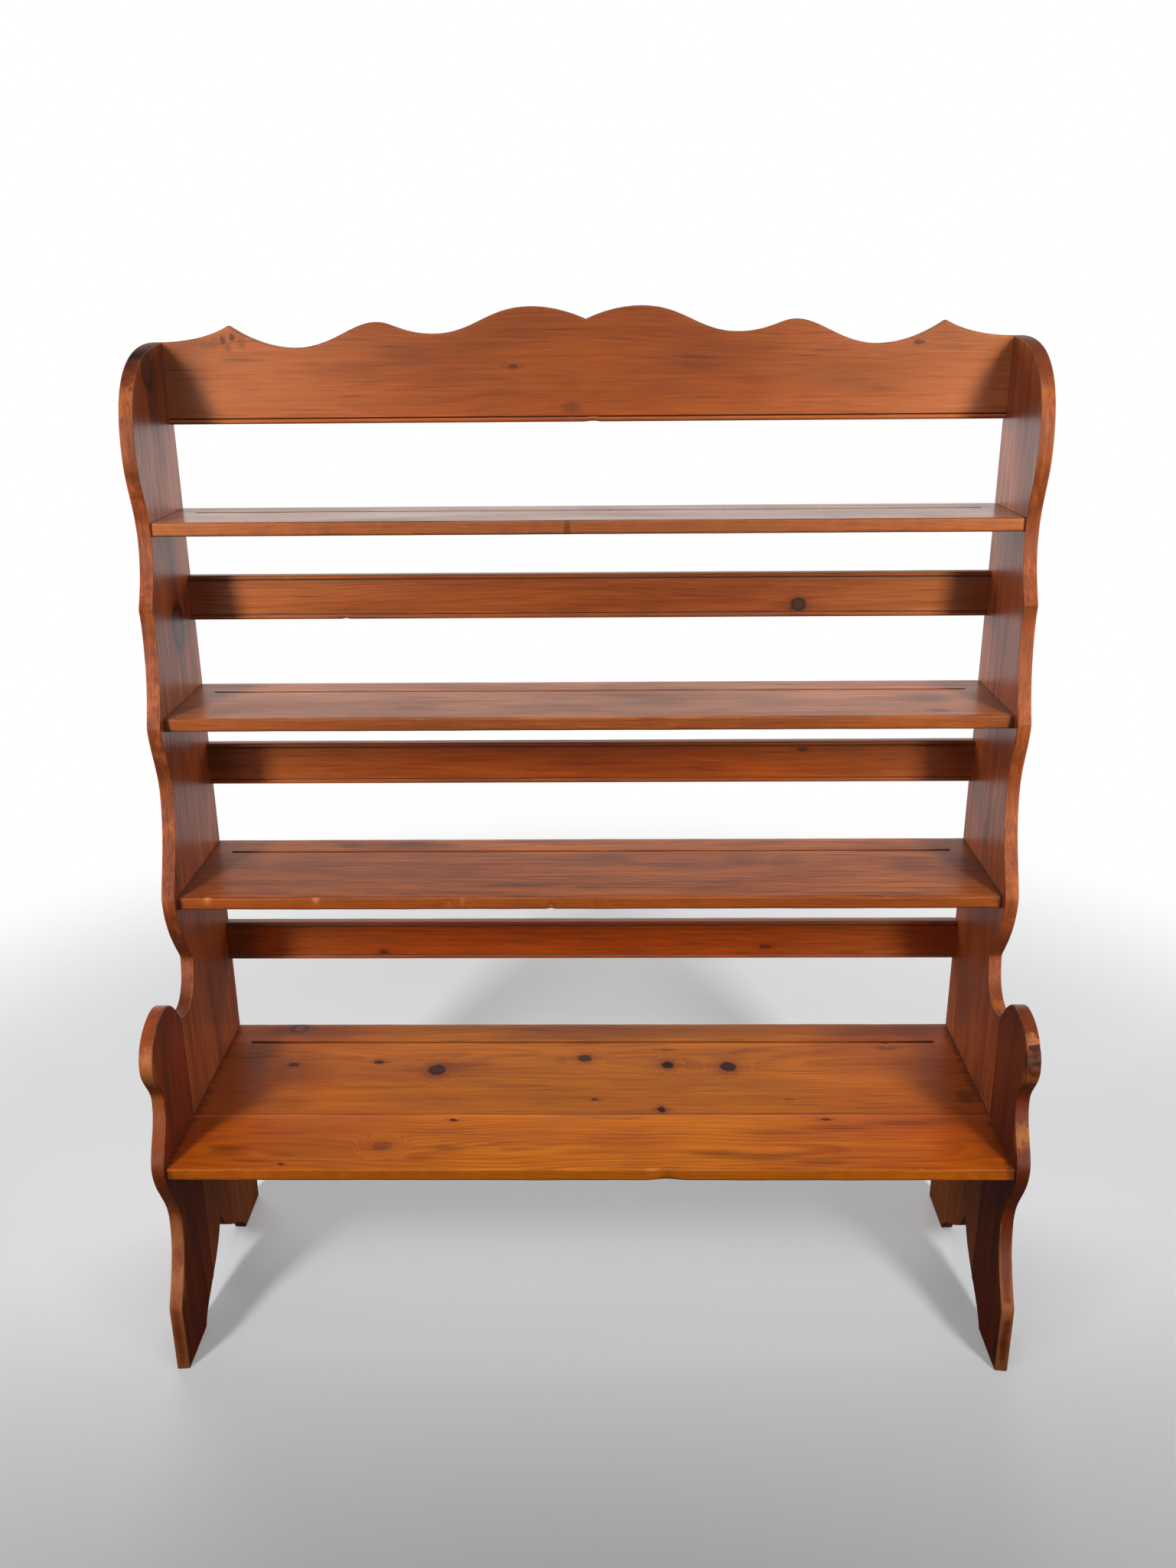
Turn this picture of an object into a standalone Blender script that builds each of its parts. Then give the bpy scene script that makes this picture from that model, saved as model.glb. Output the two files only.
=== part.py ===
"""Plate display shelf in stained pine: scroll-sawn sides, three plate shelves, a bench and four rails.

Metres, +Z up. The origin is on the floor under the middle of the piece, X runs along the shelves and the
front faces -Y. A depth is measured forwards from the plane of the rear edges, a height up from the floor.
"""
import math

import bmesh
import bpy

# Overall size and boards
WIDTH = 1.219              # over the outer faces of both sides
HEIGHT = 1.472             # from the floor to the humps of the crest
BOARD = 0.019              # thickness of sides, shelves, bench and crest
RAIL_THICKNESS = 0.016
EASE = 0.002               # rounding of the arrises
FIT = 0.0003               # gap between pieces that touch

# The bench's top face; the three bays over it share the height that is left under the crest
BENCH_TOP = 0.342
LOWER_BAY_EXTRA = 0.076    # the bay over the bench is taller than the middle one by this
TOP_BAY_EXTRA = 0.007      # and the bay under the top shelf by this

# Depths of the shelves, forwards from the rear edges
BENCH_DEPTH = 0.398
BENCH_REAR_WIDTH = 0.264   # the bench's rear board, up to the glue line
LOWER_DEPTH = 0.223
MIDDLE_DEPTH = 0.190
TOP_DEPTH = 0.149

# Stopped housings in the sides, and the stopped plate grooves
HOUSING = 0.006
GROOVE_WIDTH = 0.0066
GROOVE_DEPTH = 0.0028
SHELF_GROOVE_BACK = 0.050  # from the rear edge to the middle of the groove
BENCH_GROOVE_BACK = 0.058
GROOVE_STOP = 0.032        # short of the sides' inner faces

# Plate rails: their lower edges stand above the shelf that they guard
RAIL_HEIGHT = 0.066
UPPER_RAIL_RISE = 0.102
MIDDLE_RAIL_RISE = 0.100
LOWER_RAIL_RISE = 0.130
BEAD = 0.007               # width of the bead along an edge
QUIRK = 0.0018             # width of the small groove that sets the bead off
QUIRK_DEPTH = 0.0024

# Crest: lower edge above the top shelf, then its outline above that edge
CREST_RISE = 0.119
CREST_CENTRE = 0.137
CREST_HUMP = 0.154
CREST_TROUGH = 0.1193
CREST_SMALL_HUMP = 0.1352
CREST_OUTER_TROUGH = 0.1022
CREST_PEAK = 0.1318
CREST_END = 0.1108
CREST_HUMP_OUT = 0.076     # from the middle to the top of a centre hump
CREST_PEAK_IN = 0.0945     # from a side's inner face to the pointed peak
CREST_WAVES = (0.324, 0.510, 0.783)   # trough, small hump, outer trough: shares of the run from hump to peak

# Side outline: how far each bulge or waist stands in front of a shelf's front edge
SHOULDER_REVEAL = 0.026
TOP_REVEAL = 0.0045
CUSP_REVEAL = -0.007
CUSP_WAIST_REVEAL = -0.0098
MIDDLE_REVEAL = 0.018
MIDDLE_WAIST_REVEAL = -0.001
LOWER_REVEAL = 0.012
NECK_REVEAL = -0.034
NOTCH_REVEAL = 0.045
ARM_REVEAL = -0.002
ARM_WAIST_REVEAL = -0.0295
BENCH_REVEAL = 0.0046
LEG_WAIST_REVEAL = -0.0347
TOE_REVEAL = 0.010

# Side outline: heights of the same places above or below a shelf's top face
SHOULDER_RISE = 0.091
CUSP_RISE = 0.152
CUSP_WAIST_RISE = 0.126
MIDDLE_BULGE_DROP = 0.009
MIDDLE_WAIST_RISE = 0.154
LOWER_BULGE_DROP = 0.002
NECK_RISE = 0.055          # above the notch
NOTCH_RISE = 0.166
ARM_TOP_RISE = 0.212
ARM_FRONT_RISE = 0.155
ARM_WAIST_RISE = 0.090
BENCH_BULGE_DROP = 0.002
LEG_WAIST_DROP = 0.112
ARM_TOP_SHARE = 0.46       # place of the arm's crown between the notch and the arm's front

# Feet
TOE_HEIGHT = 0.109         # straight front of the foot
ARCH_SPAN = 0.236
ARCH_HEIGHT = 0.116

# Sweep of the outline's curves: two handles, as shares of the way between knots, forwards and up
SHOULDER_SWEEP = ((0.686, 0.0), (1.0, 0.32))
TOP_SWEEP = ((0.0, 0.41), (1.0, 0.59))
CUSP_SWEEP = ((0.0, 0.456), (0.627, 0.770))
CUSP_WAIST_SWEEP = ((0.71, 0.31), (1.0, 0.54))
MIDDLE_SWEEP = ((0.0, 0.63), (1.0, 0.926))
MIDDLE_WAIST_SWEEP = ((0.0, 0.32), (1.0, 0.66))
LOWER_SWEEP = ((0.0, 0.48), (1.0, 0.86))
NECK_SWEEP = ((0.0, 0.53), (1.0, 0.91))
NOTCH_SWEEP = ((0.10, 1.055), (0.456, 1.255))
ARM_BACK_SWEEP = ((0.254, 0.565), (0.593, 1.0))
ARM_FRONT_SWEEP = ((0.507, 0.0), (1.0, 0.42))
ARM_WAIST_SWEEP = ((0.0, 0.38), (1.0, 0.66))
BENCH_SWEEP = ((0.0, 0.43), (1.0, 0.67))
LEG_SWEEP = ((0.0, 0.36), (1.0, 0.64))
ARCH_SWEEP = ((0.153, 0.345), (0.788, 0.474))

# Sweep of the crest's curves from the middle outwards
CREST_SWEEPS = (
    ((0.30, 0.60), (0.65, 1.0)),
    ((0.45, 0.0), (0.58, 1.0)),
    ((0.55, 0.0), (0.75, 1.0)),
    ((0.30, 0.0), (0.55, 1.0)),
    ((0.45, 0.0), (0.80, 0.60)),
    ((0.20, 0.50), (0.50, 0.95)),
)

# Finish nails
NAIL_LENGTH = 0.050
NAIL_RADIUS = 0.0012
NAIL_HEAD_RADIUS = 0.0017
NAIL_HEAD_LENGTH = 0.002
NAIL_POINT = 0.004
NAIL_SET = 0.0008          # sunk below the side's outer face
NAIL_EDGE = 0.030          # from a shelf board's edges
RAIL_NAIL_EDGE = 0.016     # from a rail's edges
CREST_NAIL_EDGE = 0.025

# Smoothness of the facets
CURVE_STEPS = 9
EASE_STEPS = 2
BEAD_STEPS = 6
ROUND_SIDES = 8
GROOVE_SIDES = 12
GROOVE_RINGS = 3

# Places worked out from the sizes above
INNER = WIDTH / 2 - BOARD
TOE_DEPTH = BENCH_DEPTH + TOE_REVEAL
REAR = TOE_DEPTH / 2
CREST_LOW = HEIGHT - CREST_HUMP
TOP_TOP = CREST_LOW - CREST_RISE
BAY = (TOP_TOP - BENCH_TOP - LOWER_BAY_EXTRA - TOP_BAY_EXTRA) / 3
LOWER_TOP = BENCH_TOP + BAY + LOWER_BAY_EXTRA
MIDDLE_TOP = LOWER_TOP + BAY
SIDE_TOP = CREST_LOW + CREST_END
SIDE_SEAM = LOWER_DEPTH + NOTCH_REVEAL

# Name, height of the top face, rear edge, front edge and groove of each lying board
LYING_BOARDS = (
    ("top_shelf", TOP_TOP, 0.0, TOP_DEPTH, SHELF_GROOVE_BACK),
    ("middle_shelf", MIDDLE_TOP, 0.0, MIDDLE_DEPTH, SHELF_GROOVE_BACK),
    ("lower_shelf", LOWER_TOP, 0.0, LOWER_DEPTH, SHELF_GROOVE_BACK),
    ("bench_rear_board", BENCH_TOP, 0.0, BENCH_REAR_WIDTH - FIT / 2, BENCH_GROOVE_BACK),
    ("bench_front_board", BENCH_TOP, BENCH_REAR_WIDTH + FIT / 2, BENCH_DEPTH, None),
)

# Name and height of the lower edge of each plate rail
PLATE_RAILS = (
    ("upper_plate_rail", MIDDLE_TOP + UPPER_RAIL_RISE),
    ("middle_plate_rail", LOWER_TOP + MIDDLE_RAIL_RISE),
    ("lower_plate_rail", BENCH_TOP + LOWER_RAIL_RISE),
)

# Stained pine and steel: linear colour, roughness, metallic
FINISHES = {
    "stained_pine_sides": ((0.16, 0.042, 0.014, 1.0), 0.35, 0.0),
    "stained_pine_shelves": ((0.24, 0.070, 0.022, 1.0), 0.32, 0.0),
    "stained_pine_bench": ((0.33, 0.100, 0.018, 1.0), 0.30, 0.0),
    "stained_pine_rails": ((0.28, 0.078, 0.014, 1.0), 0.32, 0.0),
    "nail_steel": ((0.35, 0.34, 0.33, 1.0), 0.45, 1.0),
}


def clear_scene():
    """Take away whatever the file already shows."""
    for item in list(bpy.data.objects):
        bpy.data.objects.remove(item, do_unlink=True)


def make_finishes():
    """One Principled material for each finish."""
    made = {}
    for name, (colour, roughness, metallic) in FINISHES.items():
        material = bpy.data.materials.new(name)
        material.use_nodes = True
        shader = material.node_tree.nodes["Principled BSDF"]
        shader.inputs["Base Color"].default_value = colour
        shader.inputs["Roughness"].default_value = roughness
        shader.inputs["Metallic"].default_value = metallic
        made[name] = material
    return made


def curve(start, end, sweep):
    """Cubic curve between two knots, without its first point; its sweep is the two handles."""
    handles = [start]
    for share in sweep:
        handles.append(tuple(a + s * (b - a) for a, b, s in zip(start, end, share)))
    handles.append(end)
    points = []
    for step in range(1, CURVE_STEPS + 1):
        t = step / CURVE_STEPS
        weights = ((1 - t) ** 3, 3 * t * (1 - t) ** 2, 3 * t * t * (1 - t), t ** 3)
        points.append(tuple(sum(w * h[axis] for w, h in zip(weights, handles)) for axis in (0, 1)))
    return points


def side_outline():
    """Closed outline of one whole side as (depth, height), from the rear top corner round the front."""
    shoulder = (TOP_DEPTH + SHOULDER_REVEAL, TOP_TOP + SHOULDER_RISE)
    top_waist = (TOP_DEPTH + TOP_REVEAL, TOP_TOP - BOARD)
    cusp = (MIDDLE_DEPTH + CUSP_REVEAL, MIDDLE_TOP + CUSP_RISE)
    cusp_waist = (MIDDLE_DEPTH + CUSP_WAIST_REVEAL, MIDDLE_TOP + CUSP_WAIST_RISE)
    middle_bulge = (MIDDLE_DEPTH + MIDDLE_REVEAL, MIDDLE_TOP - MIDDLE_BULGE_DROP)
    middle_waist = (MIDDLE_DEPTH + MIDDLE_WAIST_REVEAL, LOWER_TOP + MIDDLE_WAIST_RISE)
    lower_bulge = (LOWER_DEPTH + LOWER_REVEAL, LOWER_TOP - LOWER_BULGE_DROP)
    notch = (SIDE_SEAM, BENCH_TOP + NOTCH_RISE)
    neck = (LOWER_DEPTH + NECK_REVEAL, notch[1] + NECK_RISE)
    arm_front = (BENCH_DEPTH + ARM_REVEAL, BENCH_TOP + ARM_FRONT_RISE)
    arm_top = (notch[0] + ARM_TOP_SHARE * (arm_front[0] - notch[0]), BENCH_TOP + ARM_TOP_RISE)
    arm_waist = (BENCH_DEPTH + ARM_WAIST_REVEAL, BENCH_TOP + ARM_WAIST_RISE)
    bench_bulge = (BENCH_DEPTH + BENCH_REVEAL, BENCH_TOP - BENCH_BULGE_DROP)
    leg_waist = (BENCH_DEPTH + LEG_WAIST_REVEAL, BENCH_TOP - LEG_WAIST_DROP)
    toe = (TOE_DEPTH, TOE_HEIGHT)
    arch_front = ((TOE_DEPTH + ARCH_SPAN) / 2, 0.0)
    arch_rear = ((TOE_DEPTH - ARCH_SPAN) / 2, 0.0)
    arch_top = (TOE_DEPTH / 2, ARCH_HEIGHT)

    points = [(0.0, SIDE_TOP)]
    points += curve(points[-1], shoulder, SHOULDER_SWEEP)
    points += curve(shoulder, top_waist, TOP_SWEEP)
    points += curve(top_waist, cusp, CUSP_SWEEP)
    points += curve(cusp, cusp_waist, CUSP_WAIST_SWEEP)
    points += curve(cusp_waist, middle_bulge, MIDDLE_SWEEP)
    points += curve(middle_bulge, middle_waist, MIDDLE_WAIST_SWEEP)
    points += curve(middle_waist, lower_bulge, LOWER_SWEEP)
    points += curve(lower_bulge, neck, NECK_SWEEP)
    points += curve(neck, notch, NOTCH_SWEEP)
    points += curve(notch, arm_top, ARM_BACK_SWEEP)
    points += curve(arm_top, arm_front, ARM_FRONT_SWEEP)
    points += curve(arm_front, arm_waist, ARM_WAIST_SWEEP)
    points += curve(arm_waist, bench_bulge, BENCH_SWEEP)
    points += curve(bench_bulge, leg_waist, LEG_SWEEP)
    points += curve(leg_waist, toe, CUSP_SWEEP)
    points += [(TOE_DEPTH, 0.0), arch_front]
    half_arch = curve(arch_front, arch_top, ARCH_SWEEP)
    points += half_arch
    points += [(TOE_DEPTH - depth, height) for depth, height in reversed(half_arch[:-1])]
    points.append(arch_rear)
    points.append((0.0, 0.0))
    return points


def cut_outline(outline, limit, keep_front):
    """The part of an outline in front of, or behind, one depth."""
    sign = 1 if keep_front else -1
    kept = []
    for here, after in zip(outline, outline[1:] + outline[:1]):
        inside = sign * (here[0] - limit) >= 0
        inside_after = sign * (after[0] - limit) >= 0
        if inside:
            kept.append(here)
        if inside != inside_after:
            share = (limit - here[0]) / (after[0] - here[0])
            kept.append((limit, here[1] + share * (after[1] - here[1])))
    return kept


def crest_outline():
    """Top edge of the crest from the left side to the right one, as (X, height above its lower edge)."""
    end = INNER - FIT
    peak = INNER - CREST_PEAK_IN
    places = [CREST_HUMP_OUT + share * (peak - CREST_HUMP_OUT) for share in CREST_WAVES]
    knots = [
        (0.0, CREST_CENTRE),
        (CREST_HUMP_OUT, CREST_HUMP),
        (places[0], CREST_TROUGH),
        (places[1], CREST_SMALL_HUMP),
        (places[2], CREST_OUTER_TROUGH),
        (peak, CREST_PEAK),
        (end, CREST_END),
    ]
    right = knots[:1]
    for start, stop, sweep in zip(knots, knots[1:], CREST_SWEEPS):
        right += curve(start, stop, sweep)
    return [(-x, height) for x, height in reversed(right[1:])] + right


def arc(centre, radius, first, last, steps):
    """Points of a round from one angle to another, in degrees, as (depth, height)."""
    points = []
    for step in range(steps + 1):
        angle = math.radians(first + (last - first) * step / steps)
        points.append((centre[0] + radius * math.cos(angle), centre[1] + radius * math.sin(angle)))
    return points


def bead(front, edge, up):
    """Half-round bead and its quirk along one front edge, from the edge inwards to the flat face.

    up is 1 for a bead along a lower edge and -1 for one along an upper edge.
    """
    radius = BEAD / 2
    centre = (front - radius, edge + up * radius)
    points = arc(centre, radius, -90 * up, 60 * up, BEAD_STEPS)
    points.append((front - QUIRK_DEPTH, edge + up * BEAD))
    points.append((front, edge + up * (BEAD + QUIRK)))
    return points


def board_section(rear, front, thickness):
    """Section of a lying board, lower face at height 0: arrises rounded, but not along the glue line."""
    section = []
    corners = ((rear, 0.0, 180), (front, 0.0, 270), (front, thickness, 0), (rear, thickness, 90))
    for depth, height, first in corners:
        if abs(depth - BENCH_REAR_WIDTH) < FIT:
            section.append((depth, height))
            continue
        centre = (depth + (EASE if depth == rear else -EASE), height + (EASE if height == 0.0 else -EASE))
        section += arc(centre, EASE, first, first + 90, EASE_STEPS)
    return section


def rail_section():
    """Section of a plate rail: beads along both front edges, rear arrises rounded, lower edge at height 0."""
    section = arc((EASE, EASE), EASE, 180, 270, EASE_STEPS)
    section += bead(RAIL_THICKNESS, 0.0, 1)
    section += reversed(bead(RAIL_THICKNESS, RAIL_HEIGHT, -1))
    section += arc((EASE, RAIL_HEIGHT - EASE), EASE, 90, 180, EASE_STEPS)
    return section


def prism(mesh, section, left, right):
    """Carry a (depth, height) section straight along X and close both ends."""
    ends = [[mesh.verts.new((x, -depth, height)) for depth, height in section] for x in (left, right)]
    for end in ends:
        mesh.faces.new(end)
    for here in range(len(section)):
        after = (here + 1) % len(section)
        mesh.faces.new((ends[0][here], ends[0][after], ends[1][after], ends[1][here]))


def side_board(mesh, outline, seam, inner, outer):
    """Saw a board out along its outline and round its arrises, but not along the glue line or the floor."""
    prism(mesh, outline, inner, outer)
    rounded = []
    for edge in mesh.edges:
        a, b = (vertex.co for vertex in edge.verts)
        along = a.x == b.x
        at_seam = abs(a.y + seam) < FIT and abs(b.y + seam) < FIT
        on_floor = a.z < FIT and b.z < FIT
        if along and not at_seam and not on_floor:
            rounded.append(edge)
    bmesh.ops.bevel(mesh, geom=rounded, offset=EASE, offset_type="OFFSET", segments=EASE_STEPS,
                    profile=0.5, affect="EDGES", clamp_overlap=True)


def crest_board(mesh):
    """Crest: beaded lower edge, and a scalloped top whose arrises are rounded."""
    top = crest_outline()
    lower = arc((EASE, EASE), EASE, 180, 270, EASE_STEPS) + bead(BOARD, 0.0, 1)
    rim = arc((BOARD - EASE, -EASE), EASE, 0, 90, EASE_STEPS) + arc((EASE, -EASE), EASE, 90, 180, EASE_STEPS)
    ends = (top[0][0], top[-1][0])
    left_low, right_low = [[mesh.verts.new((x, -depth, height)) for depth, height in lower] for x in ends]
    rows = [[mesh.verts.new((x, -depth, high + drop)) for depth, drop in rim] for x, high in top]
    for left, right in zip(rows, rows[1:]):
        for here in range(len(rim) - 1):
            mesh.faces.new((left[here], right[here], right[here + 1], left[here + 1]))
    for here in range(len(lower) - 1):
        mesh.faces.new((left_low[here], right_low[here], right_low[here + 1], left_low[here + 1]))
    mesh.faces.new([left_low[-1], right_low[-1]] + [row[0] for row in reversed(rows)])
    mesh.faces.new([left_low[0], right_low[0]] + [row[-1] for row in reversed(rows)])
    mesh.faces.new(left_low + rows[0])
    mesh.faces.new(right_low + rows[-1])


def turned(mesh, profile, origin, direction, sides):
    """Turn a (distance, radius) profile round an axis along X; a radius of 0 closes an end."""
    rings = []
    for distance, radius in profile:
        x = origin[0] + direction * distance
        if radius == 0.0:
            rings.append([mesh.verts.new((x, origin[1], origin[2]))])
            continue
        ring = []
        for side in range(sides):
            angle = 2 * math.pi * side / sides
            y = origin[1] + radius * math.cos(angle)
            z = origin[2] + radius * math.sin(angle)
            ring.append(mesh.verts.new((x, y, z)))
        rings.append(ring)
    for ring, following in zip(rings, rings[1:]):
        for side in range(sides):
            after = (side + 1) % sides
            corners = [ring[side % len(ring)], ring[after % len(ring)]]
            corners += [following[after % len(following)], following[side % len(following)]]
            mesh.faces.new(list(dict.fromkeys(corners)))


def nail_profile(clearance, mouth):
    """Profile of a finish nail from its head to its point.

    A hole is the same profile, swollen by a clearance and carried out past the head by its mouth.
    """
    shank = NAIL_RADIUS + clearance
    head = NAIL_HEAD_RADIUS + clearance
    return (
        (-mouth, 0.0),
        (-mouth, head),
        (NAIL_HEAD_LENGTH, head),
        (NAIL_HEAD_LENGTH + head - shank + clearance, shank),
        (NAIL_LENGTH - NAIL_POINT, shank),
        (NAIL_LENGTH + clearance, 0.0),
    )


def nail_places():
    """Depth and height of the nails in each board's ends, by board."""
    places = {}
    for name, top, rear, front, _ in LYING_BOARDS:
        places[name] = [(depth, top - BOARD / 2) for depth in (rear + NAIL_EDGE, front - NAIL_EDGE)]
    for name, low in PLATE_RAILS:
        places[name] = [(RAIL_THICKNESS / 2, low + RAIL_NAIL_EDGE),
                        (RAIL_THICKNESS / 2, low + RAIL_HEIGHT - RAIL_NAIL_EDGE)]
    places["crest_rail"] = [(BOARD / 2, CREST_LOW + CREST_NAIL_EDGE),
                            (BOARD / 2, SIDE_TOP - CREST_NAIL_EDGE)]
    return places


def make_object(name, mesh, finish, parent, location=(0.0, 0.0, 0.0)):
    """Close a bmesh into a named object with its finish, facing outwards."""
    bmesh.ops.recalc_face_normals(mesh, faces=mesh.faces)
    data = bpy.data.meshes.new(name)
    mesh.to_mesh(data)
    mesh.free()
    item = bpy.data.objects.new(name, data)
    bpy.context.scene.collection.objects.link(item)
    item.location = location
    item.parent = parent
    if finish:
        data.materials.append(finish)
        data.shade_smooth()
        data.set_sharp_from_angle(angle=math.radians(30))
    return item


def make_cutter(name, mesh, parent):
    """A shape that only cuts: drawn as wire and left out of renders."""
    cutter = make_object(name, mesh, None, parent)
    cutter.hide_render = True
    cutter.display_type = "WIRE"
    return cutter


def cut(item, *cutters):
    """Cut shapes out of a board."""
    for cutter in cutters:
        modifier = item.modifiers.new(cutter.name, "BOOLEAN")
        modifier.operation = "DIFFERENCE"
        modifier.solver = "EXACT"
        modifier.object = cutter


def make_nail_holes(parent):
    """Holes for all the nails, a fit larger than the nails."""
    mesh = bmesh.new()
    for places in nail_places().values():
        for depth, height in places:
            for side in (-1, 1):
                head = (side * (WIDTH / 2 - NAIL_SET), REAR - depth, height)
                turned(mesh, nail_profile(FIT, NAIL_SET + FIT), head, -side, ROUND_SIDES)
    return make_cutter("nail_holes", mesh, parent)


def make_housings(parent):
    """Stopped housings in both sides for the ends of the shelves and the bench."""
    mesh = bmesh.new()
    ends = [(top, depth) for name, top, _, depth, _ in LYING_BOARDS if name != "bench_rear_board"]
    for top, depth in ends:
        low, high = top - BOARD - FIT, top + FIT
        section = [(-BOARD, low), (depth + FIT, low), (depth + FIT, high), (-BOARD, high)]
        section = [(forward - REAR, height) for forward, height in section]
        for side in (-1, 1):
            prism(mesh, section, side * (INNER - BOARD), side * (INNER + HOUSING + FIT))
    return make_cutter("housings", mesh, parent)


def make_grooves(parent):
    """Round-nosed plate grooves, stopped short of both sides."""
    mesh = bmesh.new()
    radius = GROOVE_WIDTH / 2
    reach = INNER - GROOVE_STOP
    for _, top, _, _, back in LYING_BOARDS:
        if back is None:
            continue
        profile = []
        for ring in range(GROOVE_RINGS + 1):
            angle = math.radians(90 * ring / GROOVE_RINGS)
            profile.append((radius * (1 - math.cos(angle)), radius * math.sin(angle)))
        profile += [(2 * reach - distance, size) for distance, size in reversed(profile)]
        profile = [(distance, round(size, 9)) for distance, size in profile]
        turned(mesh, profile, (-reach, REAR - back, top + radius - GROOVE_DEPTH), 1, GROOVE_SIDES)
    return make_cutter("plate_grooves", mesh, parent)


def make_sides(finish, parent, nail_holes, housings):
    """Both sides, each from a full-height upright and an arm board glued to its front."""
    whole = side_outline()
    boards = (
        ("upright", cut_outline(whole, SIDE_SEAM - FIT / 2, False)),
        ("arm_board", cut_outline(whole, SIDE_SEAM + FIT / 2, True)),
    )
    for side, sign in (("left", -1), ("right", 1)):
        for name, outline in boards:
            mesh = bmesh.new()
            side_board(mesh, outline, SIDE_SEAM, sign * INNER, sign * (INNER + BOARD))
            item = make_object(f"{side}_{name}", mesh, finish, parent, (0.0, REAR, 0.0))
            cut(item, housings, nail_holes)


def make_lying_boards(finishes, parent, nail_holes, grooves):
    """Shelves and the two bench boards, let into the sides at both ends."""
    reach = INNER + HOUSING
    for name, top, rear, front, groove_back in LYING_BOARDS:
        mesh = bmesh.new()
        prism(mesh, board_section(rear, front, BOARD), -reach, reach)
        finish = finishes["stained_pine_bench" if name.startswith("bench") else "stained_pine_shelves"]
        item = make_object(name, mesh, finish, parent, (0.0, REAR, top - BOARD))
        if groove_back is not None:
            cut(item, grooves)
        cut(item, nail_holes)


def make_rails(finish, parent, nail_holes):
    """Three plate rails and the crest, butted between the sides."""
    for name, low in PLATE_RAILS:
        mesh = bmesh.new()
        prism(mesh, rail_section(), -INNER + FIT, INNER - FIT)
        cut(make_object(name, mesh, finish, parent, (0.0, REAR, low)), nail_holes)
    mesh = bmesh.new()
    crest_board(mesh)
    cut(make_object("crest_rail", mesh, finish, parent, (0.0, REAR, CREST_LOW)), nail_holes)


def make_nails(finish, parent):
    """Finish nails through the sides into the ends of every board, heads just below the surface."""
    for board, places in nail_places().items():
        for side, sign in (("left", -1), ("right", 1)):
            for number, (depth, height) in enumerate(places, start=1):
                mesh = bmesh.new()
                turned(mesh, nail_profile(0.0, 0.0), (0.0, 0.0, 0.0), -sign, ROUND_SIDES)
                head = (sign * (WIDTH / 2 - NAIL_SET), REAR - depth, height)
                make_object(f"{side}_{board}_nail_{number}", mesh, finish, parent, head)


def main():
    clear_scene()
    finishes = make_finishes()
    parent = bpy.data.objects.new("plate_display_shelf", None)
    bpy.context.scene.collection.objects.link(parent)
    nail_holes = make_nail_holes(parent)
    housings = make_housings(parent)
    grooves = make_grooves(parent)
    make_sides(finishes["stained_pine_sides"], parent, nail_holes, housings)
    make_lying_boards(finishes, parent, nail_holes, grooves)
    make_rails(finishes["stained_pine_rails"], parent, nail_holes)
    make_nails(finishes["nail_steel"], parent)


main()
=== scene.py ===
"""Looks of the plate display shelf: pine boards, sawn, moulded, stained and varnished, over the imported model.

Metres, +Z up, the front faces -Y. A depth is measured forwards from the plane of the rear edges and a
height up from the floor, as in the part's own construction.
"""
import math

import bpy
import numpy as np
from mathutils import Matrix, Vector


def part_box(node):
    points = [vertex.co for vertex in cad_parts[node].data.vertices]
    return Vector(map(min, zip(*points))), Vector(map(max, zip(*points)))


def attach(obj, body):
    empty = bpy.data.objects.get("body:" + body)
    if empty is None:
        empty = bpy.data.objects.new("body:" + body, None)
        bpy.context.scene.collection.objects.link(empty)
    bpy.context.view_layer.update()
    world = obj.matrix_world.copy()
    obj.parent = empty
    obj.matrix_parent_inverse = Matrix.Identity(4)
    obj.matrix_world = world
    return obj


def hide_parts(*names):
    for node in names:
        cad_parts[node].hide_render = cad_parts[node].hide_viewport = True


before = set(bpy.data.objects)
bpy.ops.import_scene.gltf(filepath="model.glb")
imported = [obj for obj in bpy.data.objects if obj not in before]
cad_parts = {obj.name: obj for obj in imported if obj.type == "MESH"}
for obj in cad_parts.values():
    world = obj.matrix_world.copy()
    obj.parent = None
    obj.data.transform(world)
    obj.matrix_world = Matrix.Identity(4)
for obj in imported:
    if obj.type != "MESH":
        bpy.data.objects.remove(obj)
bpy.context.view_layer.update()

# Sizes shared with the solids
WIDTH = 1.219
BOARD = 0.019
INNER = WIDTH / 2 - BOARD      # inner faces of the sides
REAR = 0.204                   # Y of the rear edges
SIDE_SEAM = 0.268              # depth of the glue line between upright and arm board
BENCH_SEAM = 0.264             # depth of the glue line between the bench's boards
EASE = 0.002                   # rounding of the arrises
GLUED = 0.05                   # share of that rounding that is left along a glue line
FIT = 0.0003                   # gap between pieces that touch
SEAT = 0.006                   # how far a shelf's end enters its housing

SHELF_GROOVE = 0.050           # depth of the middle of a shelf's plate groove
BENCH_GROOVE = 0.058
GROOVE_RADIUS = 0.0033
GROOVE_DEPTH = 0.0028
GROOVE_REACH = 0.5585          # half the length of the stopped plate grooves
SHADED_GROOVE_DEPTH = 0.0012           # a groove is darkened all over from this far down, as painted shade
BEAD = 0.007
QUIRK = 0.0018                 # width of the sinking beside a bead
QUIRK_DEPTH = 0.0024

# Sinking over a nail's head: how far out from the side's outer face, and the radius there
NAIL_SINKING = ((-0.0032, 0.0019), (-0.0003, 0.0021), (0.002, 0.0028))

# Spacing of the points along the outlines: closer on the arm boards, which carry the crack and chips
CREST_STEP = 0.003
UPRIGHT_STEP = 0.003
ARM_STEP = 0.0016
SEAM_STEP = 0.015
STRAIGHT_STEP = 0.020

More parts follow.
